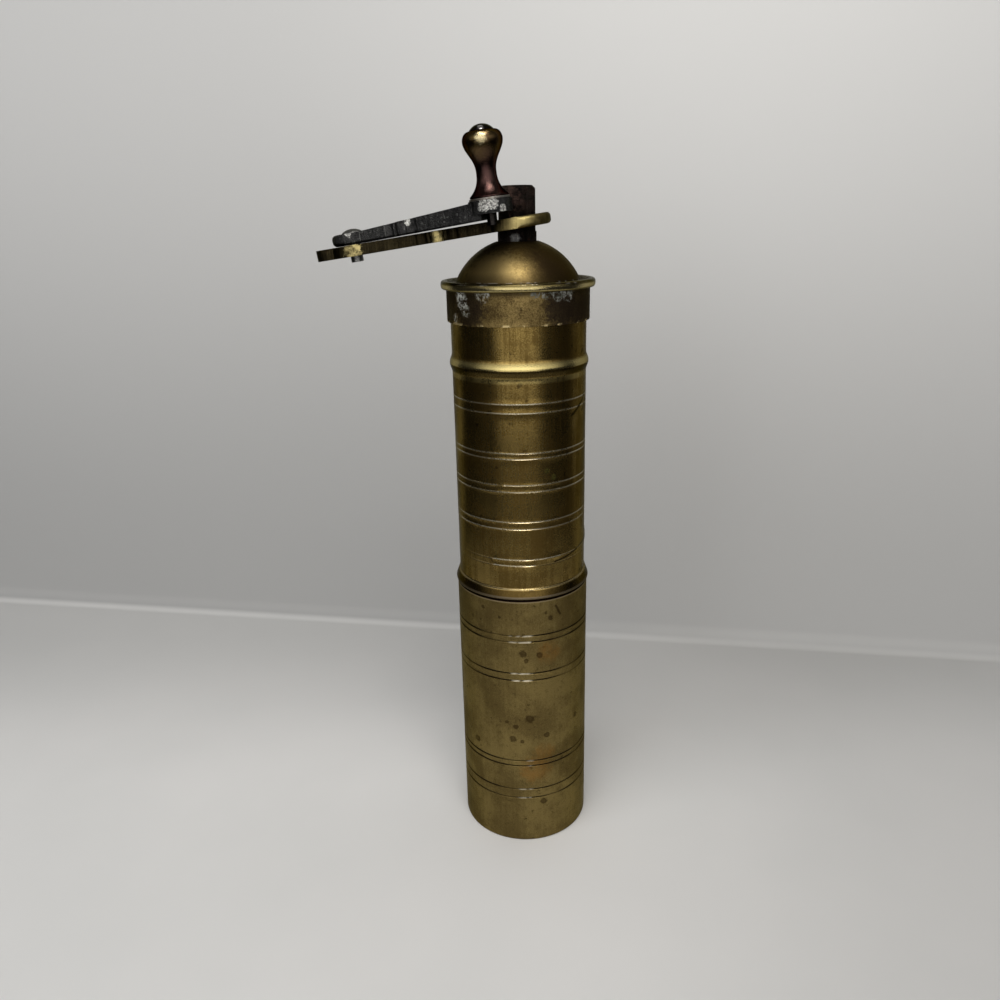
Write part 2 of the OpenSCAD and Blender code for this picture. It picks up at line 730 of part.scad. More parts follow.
// Turned knob: a foot that flares in to a slim waist, a rounded grip and a flat top
foot_rim = 0.5;
foot_flare = 2.2;
knob_steps = 10;
function flare(z1, r1, z2, r2) = [for (i = [0 : knob_steps])
    let (t = i / knob_steps) [r2 + (r1 - r2) * pow(1 - t, foot_flare), z1 + (z2 - z1) * t]];
function sweep(z1, r1, z2, r2) = [for (i = [0 : knob_steps])
    let (t = i / knob_steps) [ease(r1, r2, t), z1 + (z2 - z1) * t]];
function shoulder(z1, r1, z2, r2) = [for (i = [1 : knob_steps])
    let (t = i * 90 / knob_steps) [r2 + (r1 - r2) * cos(t), z1 + (z2 - z1) * sin(t)]];

module knob() {
    bore_r = knob_pin_d / 2 + run_fit;
    foot_r = knob_foot_d / 2;
    grip_z = knob_h - knob_grip_drop;
    grip_r = knob_grip_d / 2;
    color(KNOB_BRASS) on_knob_pin() translate([0, 0, knob_washer_t + run_fit])
        rotate_extrude() polygon(concat([[bore_r, 0], [foot_r, 0]],
            flare(foot_rim, foot_r, knob_waist_z, knob_waist_d / 2),
            [for (p = sweep(knob_waist_z, knob_waist_d / 2, grip_z, grip_r))
                if (p.y > knob_waist_z) p],
            shoulder(grip_z, grip_r, knob_h, knob_top_d / 2),
            [[bore_r, knob_h]]));
}

lower_cup();
cup_base();
upper_body();
burr_holder();
outer_burr();
top_guide();
upper_spring_washer();
burr_spring();
bottom_bar();
bar_screws();
lock_nut();
adjusting_screw();
thrust_ball();
drive_shaft();
inner_burr();
burr_pin();
lower_spring_washer();
lid_skirt();
lid_dome();
crank_arm();
link_rivet();
crank_link();
knob_washer();
knob_pin();
knob();
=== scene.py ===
import json
import math

import bmesh
import bpy
from mathutils import Matrix, Vector, noise


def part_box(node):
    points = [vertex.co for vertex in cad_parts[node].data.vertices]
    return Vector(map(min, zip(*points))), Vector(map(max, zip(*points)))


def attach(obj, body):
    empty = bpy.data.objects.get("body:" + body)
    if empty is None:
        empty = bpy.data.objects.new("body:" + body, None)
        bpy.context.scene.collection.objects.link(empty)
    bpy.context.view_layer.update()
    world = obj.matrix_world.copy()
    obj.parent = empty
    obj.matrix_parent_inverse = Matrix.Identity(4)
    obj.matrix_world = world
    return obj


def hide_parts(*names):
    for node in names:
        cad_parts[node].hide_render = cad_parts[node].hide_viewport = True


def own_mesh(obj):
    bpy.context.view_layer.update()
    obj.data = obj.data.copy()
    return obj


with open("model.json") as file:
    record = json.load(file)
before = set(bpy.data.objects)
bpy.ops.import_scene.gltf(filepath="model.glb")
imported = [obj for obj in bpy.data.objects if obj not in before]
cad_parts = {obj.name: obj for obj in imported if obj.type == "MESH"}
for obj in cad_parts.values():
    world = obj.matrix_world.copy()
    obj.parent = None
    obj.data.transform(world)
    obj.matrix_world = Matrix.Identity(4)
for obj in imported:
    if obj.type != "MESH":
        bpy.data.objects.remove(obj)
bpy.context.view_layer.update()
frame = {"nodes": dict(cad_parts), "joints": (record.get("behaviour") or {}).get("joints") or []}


# The cup that catches the ground coffee: a tube drawn from sheet brass, with pairs of lines cut on a lathe
# and a soft lower edge. Hands have rubbed it to a pale, rough olive with dark spots of old tarnish. Its
# colour
# also holds painted light: highlights on the lines at the front and along the rim, and shade in the gap
# under the tube's lip.
MM = 0.001
LATHE_STEPS = 288
WALL_STEP = 2.4 * MM
LINE_DEPTH = 0.2 * MM
cup_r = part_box("lower_cup")[1].x
cup_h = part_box("lower_cup")[1].z
cup_wall = 0.94 * MM
cup_edge = 0.7 * MM
cup_rim_soft = 0.25 * MM
cup_edge_gap = 0.4 * MM
cup_rim_gap = 0.1 * MM
cup_cut = 0.64 * MM
tube_dents = 0.1 * MM
cup_lines = [z * MM for z in (18.5, 22.1, 31.9, 34.0, 66.0, 68.7, 80.5, 82.8)]


def lined_wall(radius, low, high, lines=(), cut=0):
    """Points up a tube's outside, from low to high, with a burred groove of a width at each line."""
    burr_r = radius + 0.1 * LINE_DEPTH
    groove_r = radius - LINE_DEPTH
    half_groove = [(radius, 0.8 * cut), (burr_r, 0.6 * cut), (groove_r, 0.25 * cut)]
    count = round((high - low) / WALL_STEP)
    plain = [low + (high - low) * i / count for i in range(count + 1)]
    points = [(radius, z) for z in plain if all(abs(z - line) > cut for line in lines)]
    for line in lines:
        points += [(r, line + side * away) for r, away in half_groove for side in (-1, 1)]
    return sorted((p for p in points if low <= p[1] <= high), key=lambda p: p[1])


def round_corner(centre_r, centre_z, radius, start, end, steps=5):
    """Points of an arc in a lathe outline; angles in degrees, 0 outwards and 90 upwards."""
    angles = [math.radians(start + (end - start) * i / steps) for i in range(steps + 1)]
    return [(centre_r + radius * math.cos(a), centre_z + radius * math.sin(a)) for a in angles]


def lathe(outline, steps=LATHE_STEPS):
    """A turned mesh: a closed outline of (radius, height) points, spun once round the Z axis."""
    turned = bmesh.new()
    points = [turned.verts.new((0, -r, z)) for r, z in outline]
    edges = [turned.edges.new(pair) for pair in zip(points, points[1:] + points[:1])]
    bmesh.ops.spin(turned, geom=points + edges, cent=(0, 0, 0), axis=(0, 0, 1), dvec=(0, 0, 0),
                   angle=math.tau, steps=steps, use_merge=True)
    bmesh.ops.remove_doubles(turned, verts=turned.verts, dist=0.001 * MM)
    bmesh.ops.dissolve_degenerate(turned, edges=turned.edges, dist=0.0001 * MM)
    bmesh.ops.recalc_face_normals(turned, faces=turned.faces)
    return turned


def bearing(point):
    """Angle of a point round the shaft in degrees, from the front and positive to the right."""
    return math.degrees(math.atan2(point.x, -point.y))


def hand_worn(turned, radius, lines, cut, rubbed=(), glint_lines=()):
    """Dents a tube's outside, fades its lines where wear has thinned them and marks parts of them for a
    painted highlight. A rubbed place has two angles, a height, a reach and what is left there; a glint line
    a height, two angles and a strength."""
    wear_scale = 90
    least_left = 0.25
    dent_scale = 62
    break_scale = 800
    fade_angle = 4
    floor_share = 0.3
    mark = turned.verts.layers.float.new("line")
    glint = turned.verts.layers.float.new("glint")
    for v in turned.verts:
        r = math.hypot(v.co.x, v.co.y)
        if r < radius - 2 * LINE_DEPTH:
            continue
        angle = bearing(v.co)
        z = v.co.z
        keep = min(1, max(least_left, 0.8 + 0.9 * noise.noise(v.co * wear_scale)))
        for low, high, at, reach, left in rubbed:
            if low < angle < high and abs(z - at * MM) < reach * MM:
                keep *= left
        nearest = min(abs(z - line) for line in lines)
        r_new = radius + (r - radius) * keep if nearest < cut else r
        r_new -= tube_dents * (0.5 + 0.5 * noise.noise(v.co * dent_scale))
        v[mark] = keep if nearest < floor_share * cut else 0
        for at, start, end, strength in glint_lines:
            if abs(z - at * MM) < cut and start < angle < end:
                broken = min(1, max(0, 0.7 + 1.6 * noise.noise(v.co * break_scale)))
                ends = min(1, (angle - start) / fade_angle, (end - angle) / fade_angle)
                v[glint] = v[mark] * strength * broken * ends
        v.co.x *= r_new / r
        v.co.y *= r_new / r


def piece(name, made, finish, slot, body, *nodes):
    """Makes a mesh into a piece of the mill: it rides on a body and stands for these CAD nodes."""
    sharp = math.radians(38)
    for edge in made.edges:
        edge.smooth = edge.calc_face_angle(0) < sharp
    for face in made.faces:
        face.smooth = True
    data = bpy.data.meshes.new(name)
    made.to_mesh(data)
    made.free()
    data.materials.append(finish)
    thing = bpy.data.objects.new(name, data)
    bpy.context.scene.collection.objects.link(thing)
    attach(thing, body)
    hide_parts(*nodes)
    return thing


def add(tree, kind, inputs=None, **settings):
    """Adds a shader node; an input takes a value or another node's output."""
    node = tree.nodes.new("ShaderNode" + kind)
    for key, value in settings.items():
        setattr(node, key, value)
    for key, value in (inputs or {}).items():
        if isinstance(value, bpy.types.NodeSocket):
            tree.links.new(value, node.inputs[key])
        else:
            node.inputs[key].default_value = value
    return node


def effect(name, takes, gives):
    """An empty shader group with named inputs and outputs."""
    tree = bpy.data.node_groups.new(name, "ShaderNodeTree")
    for label, kind in takes.items():
        tree.interface.new_socket(label, in_out="INPUT", socket_type="NodeSocket" + kind)
    for label, kind in gives.items():
        tree.interface.new_socket(label, in_out="OUTPUT", socket_type="NodeSocket" + kind)
    return tree, tree.nodes.new("NodeGroupInput").outputs, tree.nodes.new("NodeGroupOutput").inputs


def grouped(tree, group, inputs):
    """Places a shader group with its own values."""
    return add(tree, "Group", inputs, node_tree=group).outputs


def blend(tree, factor, a, b):
    """Mixes two colours by a factor and returns the colour."""
    return add(tree, "Mix", {0: factor, 6: a, 7: b}, data_type="RGBA").outputs[2]


def ramp(tree, value, low, high, to_low=0.0, to_high=1.0):
    """Maps a value smoothly from one range to another and returns it."""
    return add(tree, "MapRange", {0: value, 1: low, 2: high, 3: to_low, 4: to_high},
               interpolation_type="SMOOTHSTEP").outputs[0]


def sums(tree, how, a, b):
    """One step of arithmetic on values."""
    return add(tree, "Math", {0: a, 1: b}, operation=how).outputs[0]


def times(tree, a, b):
    """The product of two values."""
    return sums(tree, "MULTIPLY", a, b)


def tinted(tree, colour, mask, tint, share=1.0):
    """Lays a tint over a colour where a mask is, by a share."""
    return blend(tree, times(tree, mask, share), colour, (*tint, 1))


def speckle(tree, where, scale, detail=3.0, roughness=0.55):
    """Noise from 0 to 1 at a scale in features per metre."""
    return add(tree, "TexNoise", {"Vector": where, "Scale": scale, "Detail": detail,
                                  "Roughness": roughness}).outputs[0]


def stretched(tree, where, factors):
    """Coordinates stretched by a factor along each axis."""
    return add(tree, "VectorMath", {0: where, 1: factors}, operation="MULTIPLY").outputs[0]


def measured(tree, how, a, b=(0, 0, 0)):
    """A value from vectors, such as their distance or their dot product."""
    return add(tree, "VectorMath", {0: a, 1: b}, operation=how).outputs["Value"]


# Old metal: cloudy tarnish, brushing along the tube, fine grain and dark pits.
old_metal, takes, gives = effect(
    "old_metal",
    {"Vector": "Vector", "Fresh": "Color", "Aged": "Color", "Pit": "Color", "Cloud": "Float",
     "Brush": "Float", "Rough Fresh": "Float", "Rough Aged": "Float"},
    {"Color": "Color", "Roughness": "Float", "Height": "Float"})
lengthwise = stretched(old_metal, takes["Vector"], (900, 900, 22))
cloud = ramp(old_metal, speckle(old_metal, takes["Vector"], 52, 6, 0.62), 0.36, 0.66)
brushing = ramp(old_metal, speckle(old_metal, lengthwise, 1), 0.34, 0.66)
grain = ramp(old_metal, speckle(old_metal, takes["Vector"], 2600, 3, 0.65), 0.36, 0.64)
pits = ramp(old_metal, speckle(old_metal, takes["Vector"], 340, 2), 0.67, 0.75)
brushed = times(old_metal, brushing, takes["Brush"])
shade = sums(old_metal, "ADD", times(old_metal, cloud, takes["Cloud"]), brushed)
shade = sums(old_metal, "ADD", shade, times(old_metal, grain, 0.3))
shade = ramp(old_metal, shade, 0.15, 0.95)
colour = blend(old_metal, shade, takes["Aged"], takes["Fresh"])
colour = blend(old_metal, times(old_metal, pits, 0.75), colour, takes["Pit"])
rough = add(old_metal, "MapRange", {0: shade, 3: takes["Rough Aged"], 4: takes["Rough Fresh"]}).outputs[0]
height = sums(old_metal, "SUBTRACT", sums(old_metal, "ADD", brushed, grain), pits)
for label, value in (("Color", colour), ("Roughness", rough), ("Height", height)):
    old_metal.links.new(value, gives[label])

# A ragged spot: 1 inside a radius round a centre and 0 outside, fading in the middle where it has a ring.
ragged_spot, takes, gives = effect(
    "ragged_spot", {"Vector": "Vector", "Centre": "Vector", "Radius": "Float", "Ring": "Float"},
    {"Mask": "Float"})
away = measured(ragged_spot, "DISTANCE", takes["Vector"], takes["Centre"])
away = sums(ragged_spot, "DIVIDE", away, takes["Radius"])
rag = times(ragged_spot, speckle(ragged_spot, takes["Vector"], 900, 4, 0.7), 1.5)
away = sums(ragged_spot, "ADD", away, sums(ragged_spot, "SUBTRACT", rag, 0.25))
inside = ramp(ragged_spot, away, 1.1, 1.65, 1.0, 0.0)
hollow = times(ragged_spot, ramp(ragged_spot, away, 0.7, 1.15, 1.0, 0.0), takes["Ring"])
ragged_spot.links.new(sums(ragged_spot, "SUBTRACT", inside, hollow), gives["Mask"])

# A scratch: 1 along a straight line between two points and 0 outside its width.
scratch, takes, gives = effect(
    "scratch", {"Vector": "Vector", "From": "Vector", "To": "Vector", "Width": "Float"}, {"Mask": "Float"})
run = add(scratch, "VectorMath", {0: takes["To"], 1: takes["From"]}, operation="SUBTRACT").outputs[0]
reach = add(scratch, "VectorMath", {0: takes["Vector"], 1: takes["From"]}, operation="SUBTRACT").outputs[0]
share = sums(scratch, "DIVIDE", measured(scratch, "DOT_PRODUCT", reach, run),
             measured(scratch, "DOT_PRODUCT", run, run))
share = add(scratch, "Clamp", {0: share}).outputs[0]
nearest_point = add(scratch, "VectorMath", {0: run, "Scale": share}, operation="SCALE").outputs[0]
away = sums(scratch, "DIVIDE", measured(scratch, "DISTANCE", reach, nearest_point), takes["Width"])
away = sums(scratch, "ADD", away, speckle(scratch, takes["Vector"], 900, 3))
scratch.links.new(ramp(scratch, away, 0.9, 1.6, 1.0, 0.0), gives["Mask"])


def metal_finish(name, metallic=1.0):
    """A new bare metal with dull edges: material, node tree, Principled shader and object coordinates."""
    finish = bpy.data.materials.new(name)
    finish.use_nodes = True
    shader = finish.node_tree.nodes["Principled BSDF"]
    shader.inputs["Metallic"].default_value = metallic
    shader.inputs["Specular Tint"].default_value = (0.5, 0.5, 0.42, 1)
    where = add(finish.node_tree, "TexCoord").outputs["Object"]
    return finish, finish.node_tree, shader, where


def old_finish(name, fresh, aged, pit, cloud, brush, rough):
    """A metal finish with the old metal placed in it; rough is its roughness where fresh and where aged."""
    finish, tree, shader, where = metal_finish(name)
    old = grouped(tree, old_metal, {
        "Vector": where, "Fresh": (*fresh, 1), "Aged": (*aged, 1), "Pit": (*pit, 1), "Cloud": cloud,
        "Brush": brush, "Rough Fresh": rough[0], "Rough Aged": rough[1]})
    return finish, tree, shader, where, old


def wired(tree, shader, colour, rough, height, bump=0.25, depth=0.12 * MM):
    """Joins colour, roughness and surface height to the shader."""
    tree.links.new(colour, shader.inputs["Base Color"])
    tree.links.new(rough, shader.inputs["Roughness"])
    relief = add(tree, "Bump", {"Strength": bump, "Distance": depth, "Height": height})
    tree.links.new(relief.outputs[0], shader.inputs["Normal"])


def marked(tree, name):
    """A mark that the mesh carries at its points."""
    return add(tree, "Attribute", attribute_name=name).outputs["Fac"]


def along(tree, where):
    """The coordinates along the three axes."""
    return add(tree, "SeparateXYZ", {0: where}).outputs


def on_tube(angle, z, radius):
    """A point on a tube at an angle from the front and a height in millimetres."""
    turn = math.radians(angle)
    return (radius * math.sin(turn), -radius * math.cos(turn), z * MM)


def spots(tree, where, places, ring=0.0):
    """The mask of several ragged spots, each a centre and a radius."""
    mask = 0.0
    for centre, radius in places:
        one = grouped(tree, ragged_spot, {"Vector": where, "Centre": centre, "Radius": radius, "Ring": ring})
        mask = sums(tree, "MAXIMUM", mask, one["Mask"])
    return mask


def wall_spots(tree, where, radius, marks, ring=0.0):
    """The mask of ragged spots on a tube, each an angle, a height and a size in millimetres."""
    places = [(on_tube(angle, z, radius), size * MM) for angle, z, size in marks]
    return spots(tree, where, places, ring)


def scratched(tree, where, radius, start, end, width):
    """The mask of a scratch on a tube from one angle and height to another, in millimetres."""
    return grouped(tree, scratch, {"Vector": where, "From": on_tube(*start, radius),
                                   "To": on_tube(*end, radius), "Width": width * MM})["Mask"]


cup_spots = [(-0.3, 76.3, 1.5), (2.5, 73.6, 0.9), (-10.3, 42.9, 1.5), (5.0, 51.1, 1.7), (-7.4, 47.8, 1.0),
             (20.2, 43.7, 1.2), (-47.7, 38.5, 1.4), (-15.6, 49.5, 0.7), (14.0, 75.5, 1.3), (24.0, 88.6, 1.0),
             (-36.0, 91.8, 0.8), (17.0, 16.5, 1.4), (53.0, 47.0, 1.1), (-2.0, 42.0, 0.8), (118.0, 60.0, 1.6),
             (163.0, 45.0, 1.3), (-110.0, 72.0, 1.4), (-150.0, 28.0, 1.7), (205.0, 74.0, 1.1)]
cup_orange = [(23.0, 76.0, 4.5), (10.0, 30.0, 6.0), (18.0, 37.0, 4.0), (150.0, 50.0, 6.0),
              (-120.0, 40.0, 5.0)]
cup_brass, tree, shader, where, old = old_finish(
    "cup_brass", fresh=(0.25, 0.185, 0.068), aged=(0.14, 0.1, 0.036), pit=(0.05, 0.035, 0.012),
    cloud=0.62, brush=0.12, rough=(0.36, 0.5))
grime = ramp(tree, speckle(tree, where, 560, 6, 0.78), 0.52, 0.7, 0.0, 0.6)
colour = tinted(tree, old["Color"], grime, (0.06, 0.042, 0.016))
orange = ramp(tree, speckle(tree, where, 240, 5, 0.7), 0.35, 0.65, 0.1, 0.5)
orange = times(tree, wall_spots(tree, where, cup_r, cup_orange), orange)
colour = tinted(tree, colour, orange, (0.3, 0.14, 0.03))
dark = wall_spots(tree, where, cup_r, cup_spots, ring=0.2)
dark = sums(tree, "MAXIMUM", dark, scratched(tree, where, cup_r, (29, 92.6), (33.5, 89.2), 0.5))
colour = tinted(tree, colour, dark, (0.035, 0.02, 0.007), 0.75)
colour = tinted(tree, colour, marked(tree, "line"), (0.018, 0.012, 0.005))
# Painted highlights: near-white glints on the lines at the front.
colour = tinted(tree, colour, marked(tree, "glint"), (0.95, 0.88, 0.7))
up = along(tree, where)[2]
# Painted highlight: a pale line just below the top of the rim.
cup_rim_highlight = ramp(tree, up, cup_h - 1.0 * MM, cup_h - 0.6 * MM)
colour = tinted(tree, colour, cup_rim_highlight, (0.6, 0.48, 0.3), 0.45)
# Painted shade: a dark line at the top of the rim, in the gap under the tube's lip.
cup_gap_shade = ramp(tree, up, cup_h - 0.5 * MM, cup_h - 0.35 * MM)
colour = tinted(tree, colour, cup_gap_shade, (0.012, 0.006, 0.005))
wired(tree, shader, colour, old["Roughness"], old["Height"])

cup_inner = cup_r - cup_wall
outline = [(cup_inner, 0), (cup_r - cup_edge, 0)]
outline += round_corner(cup_r - cup_edge, cup_edge, cup_edge, -90, 0)
outline += lined_wall(cup_r, cup_edge + cup_edge_gap, cup_h - cup_rim_soft - cup_rim_gap, cup_lines, cup_cut)
outline += round_corner(cup_r - cup_rim_soft, cup_h - cup_rim_soft, cup_rim_soft, 0, 90, 3)
outline += [(cup_inner, cup_h), (cup_inner, cup_h / 2)]
cup = lathe(outline)
cup_glints = [(82.8, -13, 9, 1.0), (80.5, -15, 10, 0.9), (68.7, -12, 10, 0.9), (66.0, -11, 8, 1.0),
              (34.0, 1, 9, 0.5), (31.9, 2, 8, 0.4), (22.1, -9, 8, 0.45), (18.5, -8, 9, 0.4)]
hand_worn(cup, cup_r, cup_lines, cup_cut, glint_lines=cup_glints)
piece("cup_tube", cup, cup_brass, "body_brass", "cup", "lower_cup")


# Plain turned brass on the inside of the mill: the cup's disc, the burr holder and the shaft's guide,
# all soldered in place and dulled by coffee, and the adjusting screw with its milled head.
def plain_finish(name, bump=0.25, **look):
    """An old metal finish with nothing else on it."""
    finish, tree, shader, where, old = old_finish(name, **look)
    wired(tree, shader, old["Color"], old["Roughness"], old["Height"], bump)
    return finish


def dressed(finish, *nodes):
    """Gives CAD nodes whose shape is right a better finish."""
    for node in nodes:
        frame["nodes"][node].data.materials.clear()
        frame["nodes"][node].data.materials.append(finish)


inner_brass = plain_finish("inner_brass", fresh=(0.5, 0.37, 0.14), aged=(0.2, 0.13, 0.045),
                           pit=(0.04, 0.025, 0.01), cloud=0.6, brush=0.28, rough=(0.32, 0.55))
dressed(inner_brass, "cup_base", "burr_holder", "top_guide", "adjusting_screw")


# The burrs are cast iron with cut teeth: a ring pressed into the holder, and a cone pinned on the shaft.
# Coffee oil has darkened them.
burr_iron = plain_finish("burr_iron", bump=0.5, fresh=(0.2, 0.19, 0.18), aged=(0.06, 0.045, 0.035),
                         pit=(0.02, 0.012, 0.008), cloud=0.6, brush=0.28, rough=(0.4, 0.62))
dressed(burr_iron, "outer_burr", "inner_burr")


# Plain steel fittings: the bar under the burrs with its two screws and lock nut, the thrust ball, the pin
# through the cone and the washers at the ends of the spring.
fitting_steel = plain_finish("fitting_steel", fresh=(0.5, 0.49, 0.47), aged=(0.22, 0.19, 0.16),
                             pit=(0.1, 0.05, 0.025), cloud=0.5, brush=0.28, rough=(0.3, 0.48))
dressed(fitting_steel, "bottom_bar", "bar_screws", "lock_nut", "thrust_ball", "burr_pin",
        "upper_spring_washer", "lower_spring_washer")


# The spring presses the shaft down on the thrust ball. It is one round steel wire, wound to a coil and held
# between two washers.
def joint(name):
    """A joint of the mill by its name."""
    return next(j for j in frame["joints"] if j["name"] == name)


spring_low, spring_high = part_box("burr_spring")
wire_r = 0.7 * MM
wire_sides = 12
spring_turns = 6
turn_steps = 32
coil_r = spring_high.x - wire_r
rise = spring_high.z - spring_low.z - 2 * wire_r
coil = bmesh.new()
ring = bmesh.ops.create_circle(coil, cap_ends=False, segments=wire_sides, radius=wire_r)["verts"]
bmesh.ops.rotate(coil, verts=ring, cent=(0, 0, 0), matrix=Matrix.Rotation(math.pi / 2, 3, "X"))
bmesh.ops.translate(coil, verts=ring, vec=(coil_r, 0, spring_low.z + wire_r))
step_up = Vector((0, 0, rise / (spring_turns * turn_steps)))
bmesh.ops.spin(coil, geom=coil.verts[:] + coil.edges[:], cent=(0, 0, 0), axis=(0, 0, 1), dvec=step_up,
               angle=math.tau * spring_turns, steps=spring_turns * turn_steps)
bmesh.ops.holes_fill(coil, edges=[e for e in coil.edges if e.is_boundary], sides=0)
bmesh.ops.recalc_face_normals(coil, faces=coil.faces)
spring = piece("spring_coil", coil, fitting_steel, "fitting_steel", "mill", "burr_spring")
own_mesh(spring)


# The bean tube: drawn brass with a flared lip that sits over the cup's rim, five pairs of bright lathe lines
# and a rolled bead. It is darker than the cup, brushed lengthwise, and bulges a little above the lip. The
# flare of the lip is darker; painted highlights lie on the lip's nose and ledge, on the bead's upper half
# and in a band below the bead, and painted shade lies under the bead and in the gap over the cup.
tube_low, tube_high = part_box("upper_body")
tube_r = 21.5 * MM
tube_wall = 0.9 * MM
mouth_edge = 0.2 * MM
lip_r = tube_high.x
lip_z = tube_low.z
lip_top = lip_z + 3.5 * MM
lip_slope = 0.1 * MM
lip_gap = 0.4 * MM
nose_r = 0.4 * MM
step_r = tube_r + 0.02 * MM
step_h = 1.22 * MM
ledge_d = 0.4 * MM
ledge_h = 0.3 * MM
ledge_soft = 0.12 * MM
ledge_lift = 0.06 * MM
bead_z = 170.45 * MM
bead_half = 3.1 * MM
bead_rise = 0.78 * MM
bead_steps = 14
bead_gap = 0.3 * MM
bulge_angle = 86.0
bulge_z = 110.9 * MM
bulge_rise = 0.5 * MM
bulge_wide = 26
bulge_tall = 1.1 * MM
tube_cut = 0.46 * MM
tube_lines = [z * MM for z in (107.5, 109.6, 120.1, 122.5, 132.5, 134.7, 143.2, 145.0, 157.5, 160.3)]
tube_rubbed = [(-95, -26, 108.5, 2.5, 0.12), (-21, -14, 134.7, 0.6, 0.1), (12, 200, 107.5, 0.6, 0.1),
               (36, 120, 109.6, 0.6, 0.3)]
tube_specks = [(22.4, 139.0, 1.0), (28.9, 136.6, 1.1), (-130.0, 150.0, 1.2), (140.0, 128.0, 1.0)]
tube_cuts = [((73, 160.6), (61, 157.4), 0.5), ((62, 157.8), (49, 155.2), 0.6),
             ((75, 158.2), (66, 155.6), 0.4), ((92, 111.6), (82, 111.2), 0.6),
             ((82, 111.2), (72, 110.6), 0.55), ((72, 110.6), (62, 109.9), 0.5),
             ((62, 109.9), (52, 109.2), 0.45), ((52, 109.2), (42, 108.5), 0.4),
             ((42, 108.5), (30, 107.9), 0.4)]


def band(tree, height, place, rise, full, fade, end):
    """A mask over millimetres from a place: it grows from rise to full and goes from fade to end."""
    rise, full, fade, end = (place + step * MM for step in (rise, full, fade, end))
    return times(tree, ramp(tree, height, rise, full), ramp(tree, height, fade, end, 1.0, 0.0))


def polished(tree, rough, mask, smooth):
    """Brings a roughness to another value where a mask is."""
    return add(tree, "Mix", {0: mask, 2: rough, 3: smooth}).outputs[0]


tube_brass, tree, shader, where, old = old_finish(
    "tube_brass", fresh=(0.31, 0.215, 0.068), aged=(0.15, 0.095, 0.026), pit=(0.05, 0.03, 0.01),
    cloud=0.55, brush=0.26, rough=(0.2, 0.34))
green = wall_spots(tree, where, tube_r, tube_specks)
colour = tinted(tree, old["Color"], green, (0.42, 0.38, 0.1), 0.7)
colour = tinted(tree, colour, marked(tree, "line"), (0.8, 0.74, 0.58))
for start, end, width in tube_cuts:
    cut = scratched(tree, where, tube_r, start, end, width)
    colour = tinted(tree, colour, cut, (0.02, 0.012, 0.005), 0.9)
up = along(tree, where)[2]
# The lip's flare below the ledge is made darker.
lip_flare_darker = ramp(tree, up, lip_top - 0.7 * MM, lip_top - 0.5 * MM, 0.88, 0.0)
colour = tinted(tree, colour, lip_flare_darker, (0.07, 0.045, 0.013))
# Painted highlight: a pale band on the lip's nose, which is also smoother.
nose_highlight = band(tree, up, lip_z, 0.2, 0.4, 0.8, 1.2)
colour = tinted(tree, colour, nose_highlight, (0.3, 0.26, 0.2), 0.4)
# Painted shade: a dark line at the foot of the lip, in the gap over the cup.
lip_gap_shade = ramp(tree, up, lip_z + 0.1 * MM, lip_z + 0.25 * MM, 1.0, 0.0)
colour = tinted(tree, colour, lip_gap_shade, (0.012, 0.006, 0.005))
# Painted highlight: a pale line at the ledge above the flare.
ledge_highlight = band(tree, up, lip_top, -0.5, -0.3, 0, 0.15)
colour = tinted(tree, colour, ledge_highlight, (0.6, 0.5, 0.28), 0.4)
# The bead's upper half is rubbed pale and smooth, and this also stands as its painted highlight.
bead_rub_and_highlight = band(tree, up, bead_z, -0.2, 0.2, 1.2, 2.6)
colour = tinted(tree, colour, bead_rub_and_highlight, (0.76, 0.63, 0.27), 0.8)
# Painted shade: the underside of the bead is dark.
bead_under_shade = band(tree, up, bead_z, -2.2, -1.9, -0.4, 0)
colour = tinted(tree, colour, bead_under_shade, (0.06, 0.042, 0.014), 0.85)
# Painted highlight: a broken pale band a little below the bead.
highlight_below_bead = ramp(tree, speckle(tree, where, 120, 4), 0.35, 0.6, 0.25, 0.65)
highlight_below_bead = times(tree, band(tree, up, bead_z, -4.4, -3.6, -2.6, -2.2), highlight_below_bead)
colour = tinted(tree, colour, highlight_below_bead, (0.6, 0.47, 0.18))
smooth = polished(tree, polished(tree, old["Roughness"], bead_rub_and_highlight, 0.2), nose_highlight, 0.5)
wired(tree, shader, colour, smooth, old["Height"], bump=0.1)

tube_inner = tube_r - tube_wall
bead_turns = [2 * i / bead_steps - 1 for i in range(bead_steps + 1)]
outline = [(step_r, lip_z + step_h), (step_r, lip_z), (lip_r - nose_r, lip_z)]
outline += round_corner(lip_r - nose_r, lip_z + nose_r, nose_r, -80, 0)
outline += [(lip_r - lip_slope, lip_z + 2 * nose_r), (tube_r + ledge_d + ledge_soft, lip_top - 2 * ledge_h)]
outline += round_corner(tube_r + ledge_d - ledge_soft, lip_top - ledge_h, ledge_soft, 20, 60, 3)
outline += [(tube_r + ledge_soft, lip_top - ledge_lift), (tube_r, lip_top + lip_slope)]
outline += lined_wall(tube_r, lip_top + lip_gap, bead_z - bead_half - bead_gap, tube_lines, tube_cut)
outline += [(tube_r + bead_rise * 0.5 * (1 + math.cos(math.pi * t)), bead_z + bead_half * t)
            for t in bead_turns]
outline += lined_wall(tube_r, bead_z + bead_half + bead_gap, tube_high.z - mouth_edge)
outline += [(tube_r - mouth_edge, tube_high.z), (tube_inner, tube_high.z), (tube_inner, lip_z + step_h)]
tube = lathe(outline)
hand_worn(tube, tube_r, tube_lines, tube_cut, tube_rubbed)
for v in tube.verts:
    if math.hypot(v.co.x, v.co.y) > tube_r - 2 * LINE_DEPTH:
        sideways = (bearing(v.co) - bulge_angle) / bulge_wide
        upwards = (v.co.z - bulge_z) / bulge_tall
        swell = 1 + bulge_rise / tube_r * math.exp(-sideways ** 2 - upwards ** 2)
        v.co.x *= swell
        v.co.y *= swell
piece("bean_tube", tube, tube_brass, "body_brass", "mill", "upper_body")
